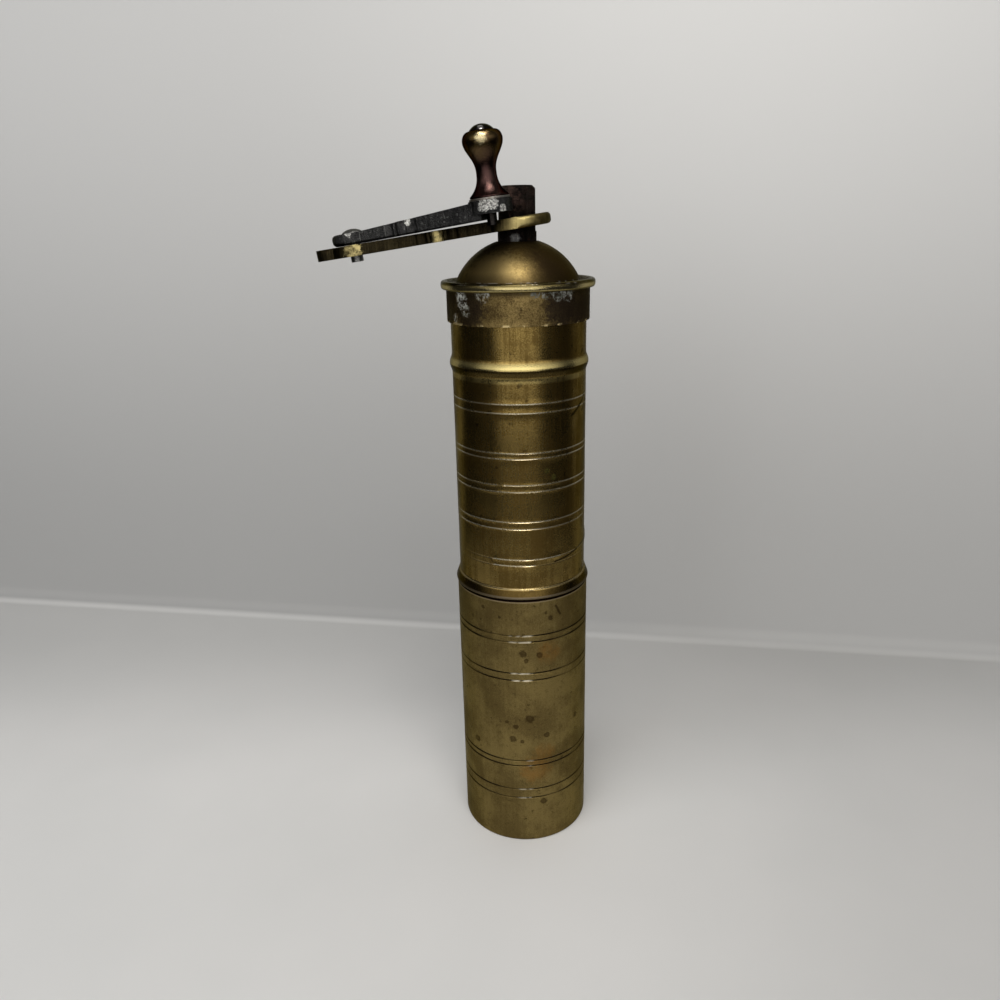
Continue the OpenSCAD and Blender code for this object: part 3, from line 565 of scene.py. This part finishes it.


# The shaft is forged steel, filed to eight sides where it comes through the lid, black with old oil and
# brown in places, with a painted highlight on its front below the crank. The crank sits on a small step and
# the end is bevelled.
def softened(node, width, eyes=()):
    """A copy of a CAD node with its sharp edges broken, marked where the metal is rubbed. An eye, given by
    its centre, outward way, least and greatest radius and a width, has a rounder edge than the rest."""
    corner = math.radians(28)
    flat = math.radians(0.5)
    made = bmesh.new()
    made.from_mesh(frame["nodes"][node].data)
    bmesh.ops.remove_doubles(made, verts=made.verts, dist=0.002 * MM)
    bmesh.ops.dissolve_limit(made, angle_limit=flat, verts=made.verts, edges=made.edges)
    rubbed_edge = made.verts.layers.float.new("worn")
    for centre, outward, least, most, eye_width in eyes:
        rim = [e for e in made.edges if e.is_manifold and e.calc_face_angle() > corner
               and all(least < (v.co - centre).length < most for v in e.verts)
               and all((v.co - centre).dot(outward) > 0 for v in e.verts)]
        bmesh.ops.bevel(made, geom=rim, offset=eye_width, offset_type="OFFSET", segments=4, profile=0.5,
                        affect="EDGES", material=-1, clamp_overlap=False)
    edges = [e for e in made.edges if e.is_manifold and e.calc_face_angle() > corner]
    broken = bmesh.ops.bevel(made, geom=edges, offset=width, offset_type="OFFSET", segments=2, profile=0.5,
                             affect="EDGES", material=-1, clamp_overlap=True)
    bands = set(broken["faces"])
    for v in broken["verts"]:
        v[rubbed_edge] = 1 if all(face in bands for face in v.link_faces) else 0
    return made


def forged(*parts):
    """A piece whose flat faces stay flat beside their broken edges."""
    piece(*parts).modifiers.new("even_shading", "WEIGHTED_NORMAL").keep_sharp = True


def near(point, *marks):
    """Places for spots near a point, each three steps and a size in millimetres."""
    return [(tuple(point + Vector(steps) * MM), size * MM) for *steps, size in marks]


arm_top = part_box("crank_arm")[1].z
shaft_steel, tree, shader, where, old = old_finish(
    "shaft_steel", fresh=(0.032, 0.025, 0.023), aged=(0.008, 0.0065, 0.006), pit=(0.09, 0.04, 0.025),
    cloud=0.7, brush=0.28, rough=(0.42, 0.6))
across = along(tree, where)[0]
up = along(tree, where)[2]
rust = ramp(tree, speckle(tree, where, 330, 6, 0.7), 0.42, 0.62)
rust = times(tree, rust, ramp(tree, up, arm_top - 1 * MM, arm_top + 3 * MM))
rust = times(tree, rust, ramp(tree, across, -1 * MM, 3.5 * MM, 1.0, 0.25))
colour = tinted(tree, old["Color"], rust, (0.12, 0.078, 0.066))
# Painted highlight: a grey spot on the front below the crank.
shaft_highlight = spots(tree, where, near(Vector((0, 0, arm_top)), (-0.5, -6.2, -7.5, 1.6)))
colour = tinted(tree, colour, shaft_highlight, (0.3, 0.3, 0.3))
colour = tinted(tree, colour, marked(tree, "worn"), (0.2, 0.15, 0.13), 0.25)
wired(tree, shader, colour, old["Roughness"], old["Height"], bump=0.8, depth=0.3 * MM)
forged("shaft_bar", softened("drive_shaft", 0.4 * MM), shaft_steel, "shaft_steel", "shaft", "drive_shaft")


# The lid: a spun brass dome with a rolled rim, soldered to a sheet skirt that slides over the bean tube.
# Verdigris has grown in the corner under the rim, which also has a band of painted shade, and the skirt's
# cut edge is rubbed bright with painted glints. The dome has a painted highlight at its front left and
# painted shade at its foot, and the rim's rubbed front band also stands as its painted highlight.
dome_low, dome_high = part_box("lid_dome")
skirt_low, skirt_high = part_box("lid_skirt")
skirt_r = skirt_high.x
skirt_inner = tube_r + 0.05 * MM
skirt_edge = 0.1 * MM
skirt_gap = 0.2 * MM
skirt_wave = 0.16 * MM
skirt_wave_scale = 420
lid_wall = 0.9 * MM
rim_r = 1.1 * MM
rim_mid_r = dome_high.x - rim_r
rim_mid_z = dome_low.z + rim_r - 0.15 * MM
rim_tall = 1.18
rim_flat = 0.72
rim_seat = 0.55
rim_start = 110
rim_turn = 286
rim_steps = 28
plate_z = tube_high.z + 0.05 * MM
plate_top = plate_z + lid_wall
dome_foot = 19.5 * MM
dome_h = 12.9 * MM
dome_r = (dome_foot ** 2 + dome_h ** 2) / (2 * dome_h)
dome_mid = plate_top + dome_h - dome_r
hole_r = 6.54 * MM
dome_steps = 28
inner_steps = 20
lid_brass, tree, shader, where, old = old_finish(
    "lid_brass", fresh=(0.21, 0.15, 0.056), aged=(0.09, 0.061, 0.023), pit=(0.05, 0.03, 0.012),
    cloud=0.6, brush=0.0, rough=(0.31, 0.45))
dome_centre = Vector((0, 0, dome_mid))
blotch = spots(tree, where, near(dome_centre, (11, -11, 14, 8)))
colour = tinted(tree, old["Color"], blotch, (0.045, 0.027, 0.014), 0.65)
# Painted highlight: a pale patch on the dome's front left.
dome_highlight_patch = spots(tree, where, near(dome_centre, (-9, -16, 10.5, 11)))
colour = tinted(tree, colour, dome_highlight_patch, (0.34, 0.25, 0.1), 0.6)
out = measured(tree, "LENGTH", stretched(tree, where, (1, 1, 0)))
# Painted shade: darker round the foot of the dome, next to the rim.
dome_foot_shade = ramp(tree, out, dome_foot - 2.2 * MM, dome_foot - 0.4 * MM, 0.0, 0.65)
colour = tinted(tree, colour, dome_foot_shade, (0.045, 0.03, 0.012))
rolled = ramp(tree, out, rim_mid_r - 1.2 * rim_r, rim_mid_r - 0.3 * rim_r)
colour = tinted(tree, colour, rolled, (0.24, 0.19, 0.07), 0.85)
up = along(tree, where)[2]
# The rim's front band is rubbed pale, and this also stands as its painted highlight.
rim_rub_and_highlight = times(tree, rolled, band(tree, up, rim_mid_z, -1.0, -0.5, 0.1, 0.5))
colour = tinted(tree, colour, rim_rub_and_highlight, (0.84, 0.7, 0.34), 0.9)
dirt = blend(tree, ramp(tree, speckle(tree, where, 480, 4, 0.7), 0.52, 0.6), (0.02, 0.013, 0.008, 1),
             (0.42, 0.4, 0.36, 1))
seam = times(tree, band(tree, up, plate_top, 0, 0.25, 0.4, 0.9), 0.65)
colour = blend(tree, seam, colour, dirt)
wired(tree, shader, colour, polished(tree, old["Roughness"], rolled, 0.17), old["Height"], bump=0.12)

soot = [(angle, 188.5, 7) for angle in (-68, -42, 36, 52, 72, 115, 170, 215)]
crusted = [(-49, 190.6, 3.4), (-44, 187.8, 2.6), (-58, 185.6, 2.0), (-27, 192, 2.6), (13, 192.6, 1.8),
           (22, 192.3, 2.2), (31, 192, 2.4), (40, 191.8, 2.6), (100, 191, 4.0), (150, 191.6, 3.4),
           (-110, 190.5, 4.0), (-150, 191.5, 3.0)]
skirt_brass, tree, shader, where, old = old_finish(
    "skirt_brass", fresh=(0.36, 0.26, 0.1), aged=(0.1, 0.068, 0.026), pit=(0.04, 0.025, 0.012),
    cloud=0.7, brush=0.12, rough=(0.4, 0.58))
up = along(tree, where)[2]
colour = tinted(tree, old["Color"], wall_spots(tree, where, skirt_r, soot), (0.03, 0.021, 0.018), 0.8)
# Painted shade: a darker band under the rim, where the verdigris also grows.
corner = ramp(tree, up, skirt_high.z - 2.6 * MM, skirt_high.z - 0.6 * MM)
colour = tinted(tree, colour, corner, (0.05, 0.036, 0.018), 0.7)
crust = sums(tree, "ADD", times(tree, corner, 0.16), speckle(tree, where, 300, 6, 0.75))
crust = sums(tree, "ADD", crust, times(tree, wall_spots(tree, where, skirt_r, crusted), 0.3))
crust = ramp(tree, crust, 0.7, 0.84)
crust = times(tree, crust, ramp(tree, speckle(tree, where, 900, 4, 0.75), 0.42, 0.58))
powder = blend(tree, ramp(tree, speckle(tree, where, 420, 3), 0.35, 0.65), (0.13, 0.14, 0.12, 1),
               (0.42, 0.43, 0.4, 1))
crust_share = times(tree, crust, 0.9)
colour = blend(tree, crust_share, colour, powder)
# The cut edge is rubbed bright, broken into spots that are also painted glints.
edge = times(tree, ramp(tree, up, skirt_low.z + 0.4 * MM, skirt_low.z + 1.0 * MM, 1.0, 0.0),
             ramp(tree, speckle(tree, where, 300, 4, 0.65), 0.5, 0.58))
colour = tinted(tree, colour, edge, (0.95, 0.76, 0.4), 0.85)
height = sums(tree, "ADD", old["Height"], times(tree, crust, 2))
wired(tree, shader, colour, polished(tree, old["Roughness"], crust, 0.9), height, bump=0.3)
tree.links.new(sums(tree, "SUBTRACT", 1.0, crust_share), shader.inputs["Metallic"])

cove_r = rim_mid_r + rim_seat * rim_r - skirt_r
outline = [(skirt_inner, skirt_low.z), (skirt_r - skirt_edge, skirt_low.z)]
outline += lined_wall(skirt_r, skirt_low.z + skirt_edge, skirt_high.z - cove_r - skirt_gap)
outline += round_corner(skirt_r + cove_r, skirt_high.z - cove_r, cove_r, 180, 90, 6)
skirt = lathe(outline + [(skirt_inner, skirt_high.z)])
for v in skirt.verts:
    if v.co.z < skirt_low.z + 2 * skirt_edge:
        v.co.z += skirt_wave * (1 + noise.noise(v.co * skirt_wave_scale))
piece("skirt_ring", skirt, skirt_brass, "lid_brass", "lid", "lid_skirt")

dome_foot_angle = math.degrees(math.asin((plate_top - dome_mid) / dome_r))
hole_angle = math.degrees(math.acos(hole_r / dome_r))
inner_r = dome_r - lid_wall
inner_foot = math.degrees(math.asin((plate_z - dome_mid) / inner_r))
inner_hole = math.degrees(math.acos(hole_r / inner_r))
outline = round_corner(0, dome_mid, dome_r, hole_angle, dome_foot_angle, dome_steps)
for i in range(rim_steps + 1):
    turn = math.radians(rim_start - rim_turn * i / rim_steps)
    outward = math.copysign(abs(math.cos(turn)) ** rim_flat, math.cos(turn))
    upward = math.copysign(abs(math.sin(turn)) ** rim_flat, math.sin(turn))
    outline.append((rim_mid_r + rim_r * outward, rim_mid_z + rim_tall * rim_r * upward))
outline += [(skirt_inner, plate_z)]
outline += round_corner(0, dome_mid, inner_r, inner_foot, inner_hole, inner_steps)
piece("dome_shell", lathe(outline), lid_brass, "lid_brass", "lid", "lid_dome")


# The crank arm is flat brass, sawn and filed to shape, with round ornaments on its edges. The file marks
# still show; the tongue and the shaft's eye are rubbed yellow. Painted highlights lie on the eye and on the
# two ornaments, the eye's gold fades at its ends as painted shade, and painted shade dulls the top under the
# link.
arm_t = 3.3 * MM
rivet = Vector(joint("link_fold")["pos_m"])
rivet_axis = -Vector(joint("link_fold")["axis"])
arm_face = rivet.dot(rivet_axis)
arm_eye = (Vector((0, 0, arm_top - arm_t)), Vector((1, 0, 0)), 9.5 * MM, 12.5 * MM, 1.1 * MM)
arm_brass, tree, shader, where, old = old_finish(
    "arm_brass", fresh=(0.045, 0.036, 0.018), aged=(0.012, 0.009, 0.005), pit=(0.03, 0.02, 0.01),
    cloud=0.6, brush=0.28, rough=(0.32, 0.5))
filed = ramp(tree, speckle(tree, stretched(tree, where, (2400, 300, 120)), 1, 3), 0.38, 0.62)
colour = tinted(tree, old["Color"], filed, (0.01, 0.008, 0.005), 0.5)
across = along(tree, where)[0]
# The eye's gold fades out to the left and to half on the right: painted shade.
eye_gold_and_shade = ramp(tree, speckle(tree, where, 420, 4, 0.6), 0.3, 0.7, 0.4, 0.95)
eye_gold_and_shade = times(tree, eye_gold_and_shade, ramp(tree, across, -8 * MM, -3 * MM))
eye_gold_and_shade = times(tree, eye_gold_and_shade, ramp(tree, across, 4 * MM, 9 * MM, 1.0, 0.5))
colour = tinted(tree, colour, eye_gold_and_shade, (0.3, 0.235, 0.095))
# Painted highlight: a pale band across the middle of the eye.
eye_highlight = band(tree, across, 0, -3.5, 0, 2, 5.5)
colour = tinted(tree, colour, eye_highlight, (0.85, 0.7, 0.3), 0.55)
# Painted highlights on the ornament by the rivet and on the one in the middle, joined with the rubbed edges.
wear_and_glints = spots(tree, where, near(rivet, (0.7, -7.4, -1.9, 3.0), (26.6, -8.3, 1.9, 2.6)))
wear_and_glints = ramp(tree, sums(tree, "MAXIMUM", wear_and_glints, times(tree, marked(tree, "worn"), 0.12)), 0.25, 0.6)
wear_and_glints = times(tree, wear_and_glints, ramp(tree, speckle(tree, where, 520, 4, 0.65), 0.36, 0.64, 0.12, 1.0))
colour = tinted(tree, colour, wear_and_glints, (0.7, 0.58, 0.26))
height = sums(tree, "ADD", old["Height"], times(tree, filed, 1.5))
wired(tree, shader, colour, polished(tree, old["Roughness"], eye_gold_and_shade, 0.26), height, bump=0.35)
# Painted shade: the top face under the link near the rivet loses its metal shine and goes dark.
arm_up = measured(tree, "DOT_PRODUCT", where, tuple(rivet_axis))
gap_shade_dull = ramp(tree, arm_up, arm_face - 0.3 * MM, arm_face - 0.15 * MM)
gap_shade_dull = times(tree, gap_shade_dull, ramp(tree, across, -22 * MM, -32 * MM))
tree.links.new(sums(tree, "SUBTRACT", 1.0, gap_shade_dull), shader.inputs["Metallic"])
shader.inputs["Specular IOR Level"].default_value = 0.0
forged("arm_bar", softened("crank_arm", 0.4 * MM, [arm_eye]), arm_brass, "arm_brass", "crank", "crank_arm")


# The link is forged steel, blackened, with scale on its sides and bright worn places at its two eyes, which
# also serve as painted glints, as does a painted glint on its ornament. Its side just over the arm is
# painted near black as shade. It turns on a domed steel rivet that is fixed in the arm.
knob_seat = Vector(joint("knob_spin")["pos_m"])
knob_axis = Vector(joint("knob_spin")["axis"])
link_way = (knob_seat - rivet).normalized()
link_eye = (rivet, -link_way, 5.4 * MM, 7.8 * MM, 1.3 * MM)
link_steel, tree, shader, where, old = old_finish(
    "link_steel", fresh=(0.068, 0.068, 0.068), aged=(0.02, 0.02, 0.021), pit=(0.015, 0.014, 0.014),
    cloud=0.6, brush=0.28, rough=(0.32, 0.5))
# Rubbed places at the knob eye, which are also painted glints.
eye_wear_and_glints = near(rivet, (40.9, -17.0, 10.0, 1.9), (43.4, -17.2, 10.5, 1.9), (46.4, -16.2, 9.4, 1.2))
wear_and_glints = ramp(tree, spots(tree, where, eye_wear_and_glints), 0.25, 0.55)
wear_and_glints = times(tree, wear_and_glints, ramp(tree, speckle(tree, where, 1700, 5, 0.7), 0.38, 0.6, 0.12, 1.0))
# Painted glints on the ornament and on the eye by the rivet.
link_glint_places = near(rivet, (18.0, -9.3, 6.2, 1.1), (-0.5, -6.4, 3.0, 1.1))
link_glints = ramp(tree, spots(tree, where, link_glint_places), 0.2, 0.9)
link_glints = times(tree, link_glints, ramp(tree, speckle(tree, where, 1000, 4, 0.7), 0.4, 0.58))
link_up = measured(tree, "DOT_PRODUCT", where, tuple(rivet_axis))
above = ramp(tree, link_up, arm_face + 0.5 * MM, arm_face + 0.9 * MM)
worn = times(tree, marked(tree, "worn"), ramp(tree, speckle(tree, where, 240, 4), 0.45, 0.65, 0.0, 0.5))
worn = times(tree, worn, above)
flecks = times(tree, ramp(tree, speckle(tree, where, 1100, 2), 0.63, 0.68), 0.09)
for mask in (link_glints, worn, flecks):
    wear_and_glints = sums(tree, "MAXIMUM", wear_and_glints, mask)
# Painted shade: the side just over the arm is near black.
colour = blend(tree, above, (0.006, 0.006, 0.006, 1), old["Color"])
colour = tinted(tree, colour, wear_and_glints, (0.85, 0.85, 0.82))
wired(tree, shader, colour, old["Roughness"], old["Height"], bump=0.6, depth=0.2 * MM)
link_made = softened("crank_link", 0.5 * MM, [link_eye])
forged("link_bar", link_made, link_steel, "link_steel", "link", "crank_link")


def hammered(made, place, axis, wider, flatter):
    """Spreads the head of a rivet that stands along an axis at a place."""
    heights = {v: (v.co - place).dot(axis) for v in made.verts}
    aside = {v: v.co - place - axis * heights[v] for v in made.verts}
    reach = max(a.length for a in aside.values())
    base = min(heights[v] for v in made.verts if aside[v].length > 0.9 * reach)
    for v in made.verts:
        if heights[v] > base - 0.01 * MM:
            v.co = place + aside[v] * wider + axis * (base + (heights[v] - base) * flatter)
    return made


rivet_steel = plain_finish("rivet_steel", fresh=(0.34, 0.34, 0.33), aged=(0.1, 0.098, 0.095),
                           pit=(0.03, 0.028, 0.026), cloud=0.6, brush=0.0, rough=(0.26, 0.42))
rivet_made = hammered(softened("link_rivet", 0.15 * MM), rivet, rivet_axis, wider=1.0, flatter=0.6)
forged("rivet_pin", rivet_made, rivet_steel, "link_steel", "crank", "link_rivet")


# The knob is turned brass, gone dark brown at its waist and foot and rubbed to old gold at the grip.
# It spins on a black steel pin whose domed end is riveted over it; a thin washer lies under its foot.
# Painted highlights lie near the top of the grip and on both ends of the pin.
knob_h = 17.8 * MM
knob_foot_z = 0.65 * MM
foot_r = 5.7 * MM
foot_edge = 0.2 * MM
foot_rim = 0.5 * MM
foot_flare = 2.7
waist_r = 2.95 * MM
waist_z = 7.0 * MM
neck_pull = 1.15
grip_r = 5.85 * MM
grip_z = knob_h - 2.6 * MM
top_r = 4.0 * MM
bore_r = 1.55 * MM
curve_steps = 12
knob_sides = 96
pin_shine_z = 8.2 * MM
knob_brass, tree, shader, where, old = old_finish(
    "knob_brass", fresh=(0.15, 0.092, 0.075), aged=(0.06, 0.03, 0.028), pit=(0.03, 0.015, 0.012),
    cloud=0.6, brush=0.0, rough=(0.09, 0.16))
shader.inputs["Specular Tint"].default_value = (0.1, 0.09, 0.08, 1)
knob_up = measured(tree, "DOT_PRODUCT", where, tuple(knob_axis))
foot_up = knob_seat.dot(knob_axis)
grip = ramp(tree, knob_up, foot_up + 8.5 * MM, foot_up + 15 * MM)
grip = times(tree, grip, ramp(tree, speckle(tree, where, 160, 4), 0.3, 0.6, 0.45, 1.0))
colour = tinted(tree, old["Color"], grip, (0.15, 0.105, 0.035))
# Painted highlight: a pale spot near the top of the grip.
grip_highlight = spots(tree, where, near(knob_seat, (-2.0, -5.7, 15.9, 1.7)))
colour = tinted(tree, colour, grip_highlight, (0.62, 0.52, 0.3))
wired(tree, shader, colour, old["Roughness"], old["Height"], bump=0.2)

steps = [i / curve_steps for i in range(curve_steps + 1)]
outline = [(bore_r, 0), (foot_r - foot_edge, 0), (foot_r, foot_edge)]
outline += [(waist_r + (foot_r - waist_r) * (1 - t) ** foot_flare, foot_rim + (waist_z - foot_rim) * t)
            for t in steps]
outline += [(waist_r + (grip_r - waist_r) * (1 - math.cos(math.pi * t ** neck_pull)) / 2,
             waist_z + (grip_z - waist_z) * t) for t in steps[1:]]
outline += [(top_r + (grip_r - top_r) * math.cos(math.pi / 2 * t),
             grip_z + (knob_h - grip_z) * math.sin(math.pi / 2 * t)) for t in steps[1:]]
outline += [(bore_r, knob_h)]
knob = lathe([(r, z + knob_foot_z) for r, z in outline], knob_sides)
upright = knob_axis.to_track_quat("Z", "Y").to_matrix().to_4x4()
bmesh.ops.transform(knob, matrix=Matrix.Translation(knob_seat) @ upright, verts=knob.verts)
piece("knob_grip", knob, knob_brass, "knob_brass", "knob", "knob")
forged("washer_disc", softened("knob_washer", 0.12 * MM), fitting_steel, "link_steel", "link", "knob_washer")

pin_black, tree, shader, where, old = old_finish(
    "pin_black", fresh=(0.05, 0.046, 0.044), aged=(0.02, 0.017, 0.016), pit=(0.01, 0.008, 0.008),
    cloud=0.5, brush=0.0, rough=(0.1, 0.18))
# Painted highlights on the pin's domed end and on its lower end.
pin_highlights = near(knob_seat, (-2.1, -3.0, 18.9, 0.9))
pin_highlights += near(knob_seat - knob_axis * pin_shine_z, (0, -1.5, 0, 0.9))
colour = tinted(tree, old["Color"], spots(tree, where, pin_highlights), (0.8, 0.76, 0.74))
wired(tree, shader, colour, old["Roughness"], old["Height"], bump=0.1)
pin_made = hammered(softened("knob_pin", 0.15 * MM), knob_seat, knob_axis, wider=1.14, flatter=1.0)
forged("pin_rod", pin_made, pin_black, "shaft_steel", "link", "knob_pin")


# The stage: one pale sheet for floor and wall with a small cove between them, seen from its front only,
# so that views from behind look through it. Its colour holds painted shade: the floor darker towards the
# wall and a painted shadow at its right, the wall darker low down and at its left, and the sheet darker
# where metal reflects it, on the wall and far away.
wall_far = 141 * MM
wall_turn = math.radians(-8.4)
wall_h = 0.62
stage_cove = 8 * MM
stage_half = 0.42
floor_front = -0.32
sheet = bmesh.new()
profile = [(floor_front, 0)] + round_corner(wall_far - stage_cove, stage_cove, stage_cove, -90, 0, 10)
profile += [(wall_far, wall_h)]
rail = [sheet.verts.new((-stage_half, y, z)) for y, z in profile]
rail_edges = [sheet.edges.new(pair) for pair in zip(rail, rail[1:])]
grown = bmesh.ops.extrude_edge_only(sheet, edges=rail_edges)["geom"]
far_side = [g for g in grown if isinstance(g, bmesh.types.BMVert)]
bmesh.ops.translate(sheet, verts=far_side, vec=(2 * stage_half, 0, 0))
bmesh.ops.rotate(sheet, verts=sheet.verts, cent=(0, wall_far, 0), matrix=Matrix.Rotation(wall_turn, 3, "Z"))
bmesh.ops.recalc_face_normals(sheet, faces=sheet.faces)
floor = max(sheet.faces, key=lambda face: abs(face.normal.z))
if floor.normal.z < 0:
    bmesh.ops.reverse_faces(sheet, faces=sheet.faces)
for face in sheet.faces:
    face.smooth = True
pale, tree, shader, where = metal_finish("pale_sheet", 0.0)
shader.inputs["Roughness"].default_value = 0.55
across, deep, up = along(tree, where)
paper = blend(tree, ramp(tree, speckle(tree, where, 9, 3), 0.3, 0.7), (0.74, 0.74, 0.735, 1),
              (0.78, 0.775, 0.77, 1))
# Painted shade: the floor darker towards the wall.
paper = tinted(tree, paper, ramp(tree, deep, 0.0, wall_far, 0.0, 0.55), (0.44, 0.44, 0.435))
# Painted shadow: the floor darker to the right.
paper = tinted(tree, paper, ramp(tree, across, 0.0, 0.15, 0.0, 0.18), (0.1, 0.1, 0.1))
# Painted shade: the wall darker low down and at its left.
wall = times(tree, ramp(tree, up, 0.03, 0.34, 0.39, 0.63), ramp(tree, across, -0.15, 0.15, 0.86, 1.06))
paper = blend(tree, ramp(tree, up, 0.1 * MM, 2.5 * MM), paper, wall)
# Painted shade in reflections: metal sees the sheet darker far away and on the wall.
away = measured(tree, "LENGTH", where)
reflected_sheet_shade = blend(tree, ramp(tree, away, 0.2, 0.3), (0.66, 0.66, 0.65, 1), (0.03, 0.03, 0.03, 1))
reflected_sheet_shade = tinted(tree, reflected_sheet_shade, ramp(tree, up, 1 * MM, 8 * MM), (0.28, 0.28, 0.28))
paper = blend(tree, add(tree, "LightPath").outputs["Is Glossy Ray"], paper, reflected_sheet_shade)
tree.links.new(paper, shader.inputs["Base Color"])
behind = add(tree, "NewGeometry").outputs["Backfacing"]
clear = add(tree, "BsdfTransparent").outputs[0]
both = add(tree, "MixShader", {0: behind, 1: shader.outputs[0], 2: clear})
tree.links.new(both.outputs[0], tree.nodes["Material Output"].inputs["Surface"])
data = bpy.data.meshes.new("backdrop")
sheet.to_mesh(data)
sheet.free()
data.materials.append(pale)
backdrop = bpy.data.objects.new("backdrop", data)
bpy.context.scene.collection.objects.link(backdrop)


# The light: a soft lamp above, a wide one low in front, one at the left that metal doesn't mirror, a weak
# one behind, and a dim room with a bright window band in front.
def lamp(name, place, target, wide, high, power, tint, mirrored=True):
    """A soft lamp of a width and a height at a place, turned towards a target; metal may mirror it."""
    light = bpy.data.lights.new(name, "AREA")
    light.shape = "RECTANGLE"
    light.size = wide
    light.size_y = high
    light.energy = power
    light.color = tint
    lit = bpy.data.objects.new(name, light)
    lit.location = place
    lit.visible_camera = False
    lit.visible_glossy = mirrored
    lit.rotation_euler = (Vector(target) - Vector(place)).to_track_quat("-Z", "Y").to_euler()
    bpy.context.scene.collection.objects.link(lit)


lamp("top_front", (0.02, -0.24, 0.6), (0, 0, 0.12), 0.24, 0.24, 1.25, (1.0, 0.97, 0.92))
lamp("front", (-0.03, -0.7, 0.11), (-0.03, 0, 0.11), 0.95, 0.2, 0.6, (1.0, 0.98, 0.95))
lamp("left", (-0.55, -0.5, 0.45), (0, 0, 0.1), 0.6, 0.6, 2.6, (0.98, 0.99, 1.0), mirrored=False)
lamp("behind", (0.25, 0.75, 0.7), (0, 0, 0.12), 0.5, 0.5, 0.3, (1.0, 1.0, 1.0))
room = bpy.data.worlds.new("room")
room.use_nodes = True
tree = room.node_tree
towards = along(tree, add(tree, "TexCoord").outputs["Generated"])
deep = towards[1]
up = towards[2]
window_height = times(tree, ramp(tree, up, 0.04, 0.2), ramp(tree, up, 0.48, 0.62, 1.0, 0.0))
window = times(tree, ramp(tree, deep, -0.1, -0.85), window_height)
core = times(tree, ramp(tree, deep, -0.7, -0.9), window_height)
glow = blend(tree, ramp(tree, up, 0.0, 0.5), (0.015, 0.015, 0.015, 1), (0.1, 0.1, 0.1, 1))
glow = tinted(tree, glow, window, (1.0, 0.98, 0.94))
glow = tinted(tree, glow, core, (1.8, 1.76, 1.7))
glow = tinted(tree, glow, add(tree, "LightPath").outputs["Is Camera Ray"], (0.5, 0.5, 0.49))
tree.links.new(glow, tree.nodes["Background"].inputs["Color"])
bpy.context.scene.world = room
bpy.context.scene.view_settings.view_transform = "Standard"


# The camera stands a quarter of a metre away at the height of the lid, looks down a little and leans
# slightly. Its focal length is in pixels of the square picture.
eye = Vector((0, -0.26222, 0.21226))
look_down = math.radians(18.814)
look_left = math.radians(1.5667)
lean = math.radians(-1.3588)
image_side = 1000
focal_pixels = 813.53
camera = bpy.data.cameras.new("camera")
camera.sensor_width = 36
camera.lens = focal_pixels / image_side * camera.sensor_width
camera.clip_start = 0.01
view = bpy.data.objects.new("camera", camera)
view.matrix_world = (Matrix.Translation(eye) @ Matrix.Rotation(look_left, 4, "Z")
                     @ Matrix.Rotation(math.pi / 2 - look_down, 4, "X") @ Matrix.Rotation(lean, 4, "Z"))
bpy.context.scene.collection.objects.link(view)
bpy.context.scene.camera = view
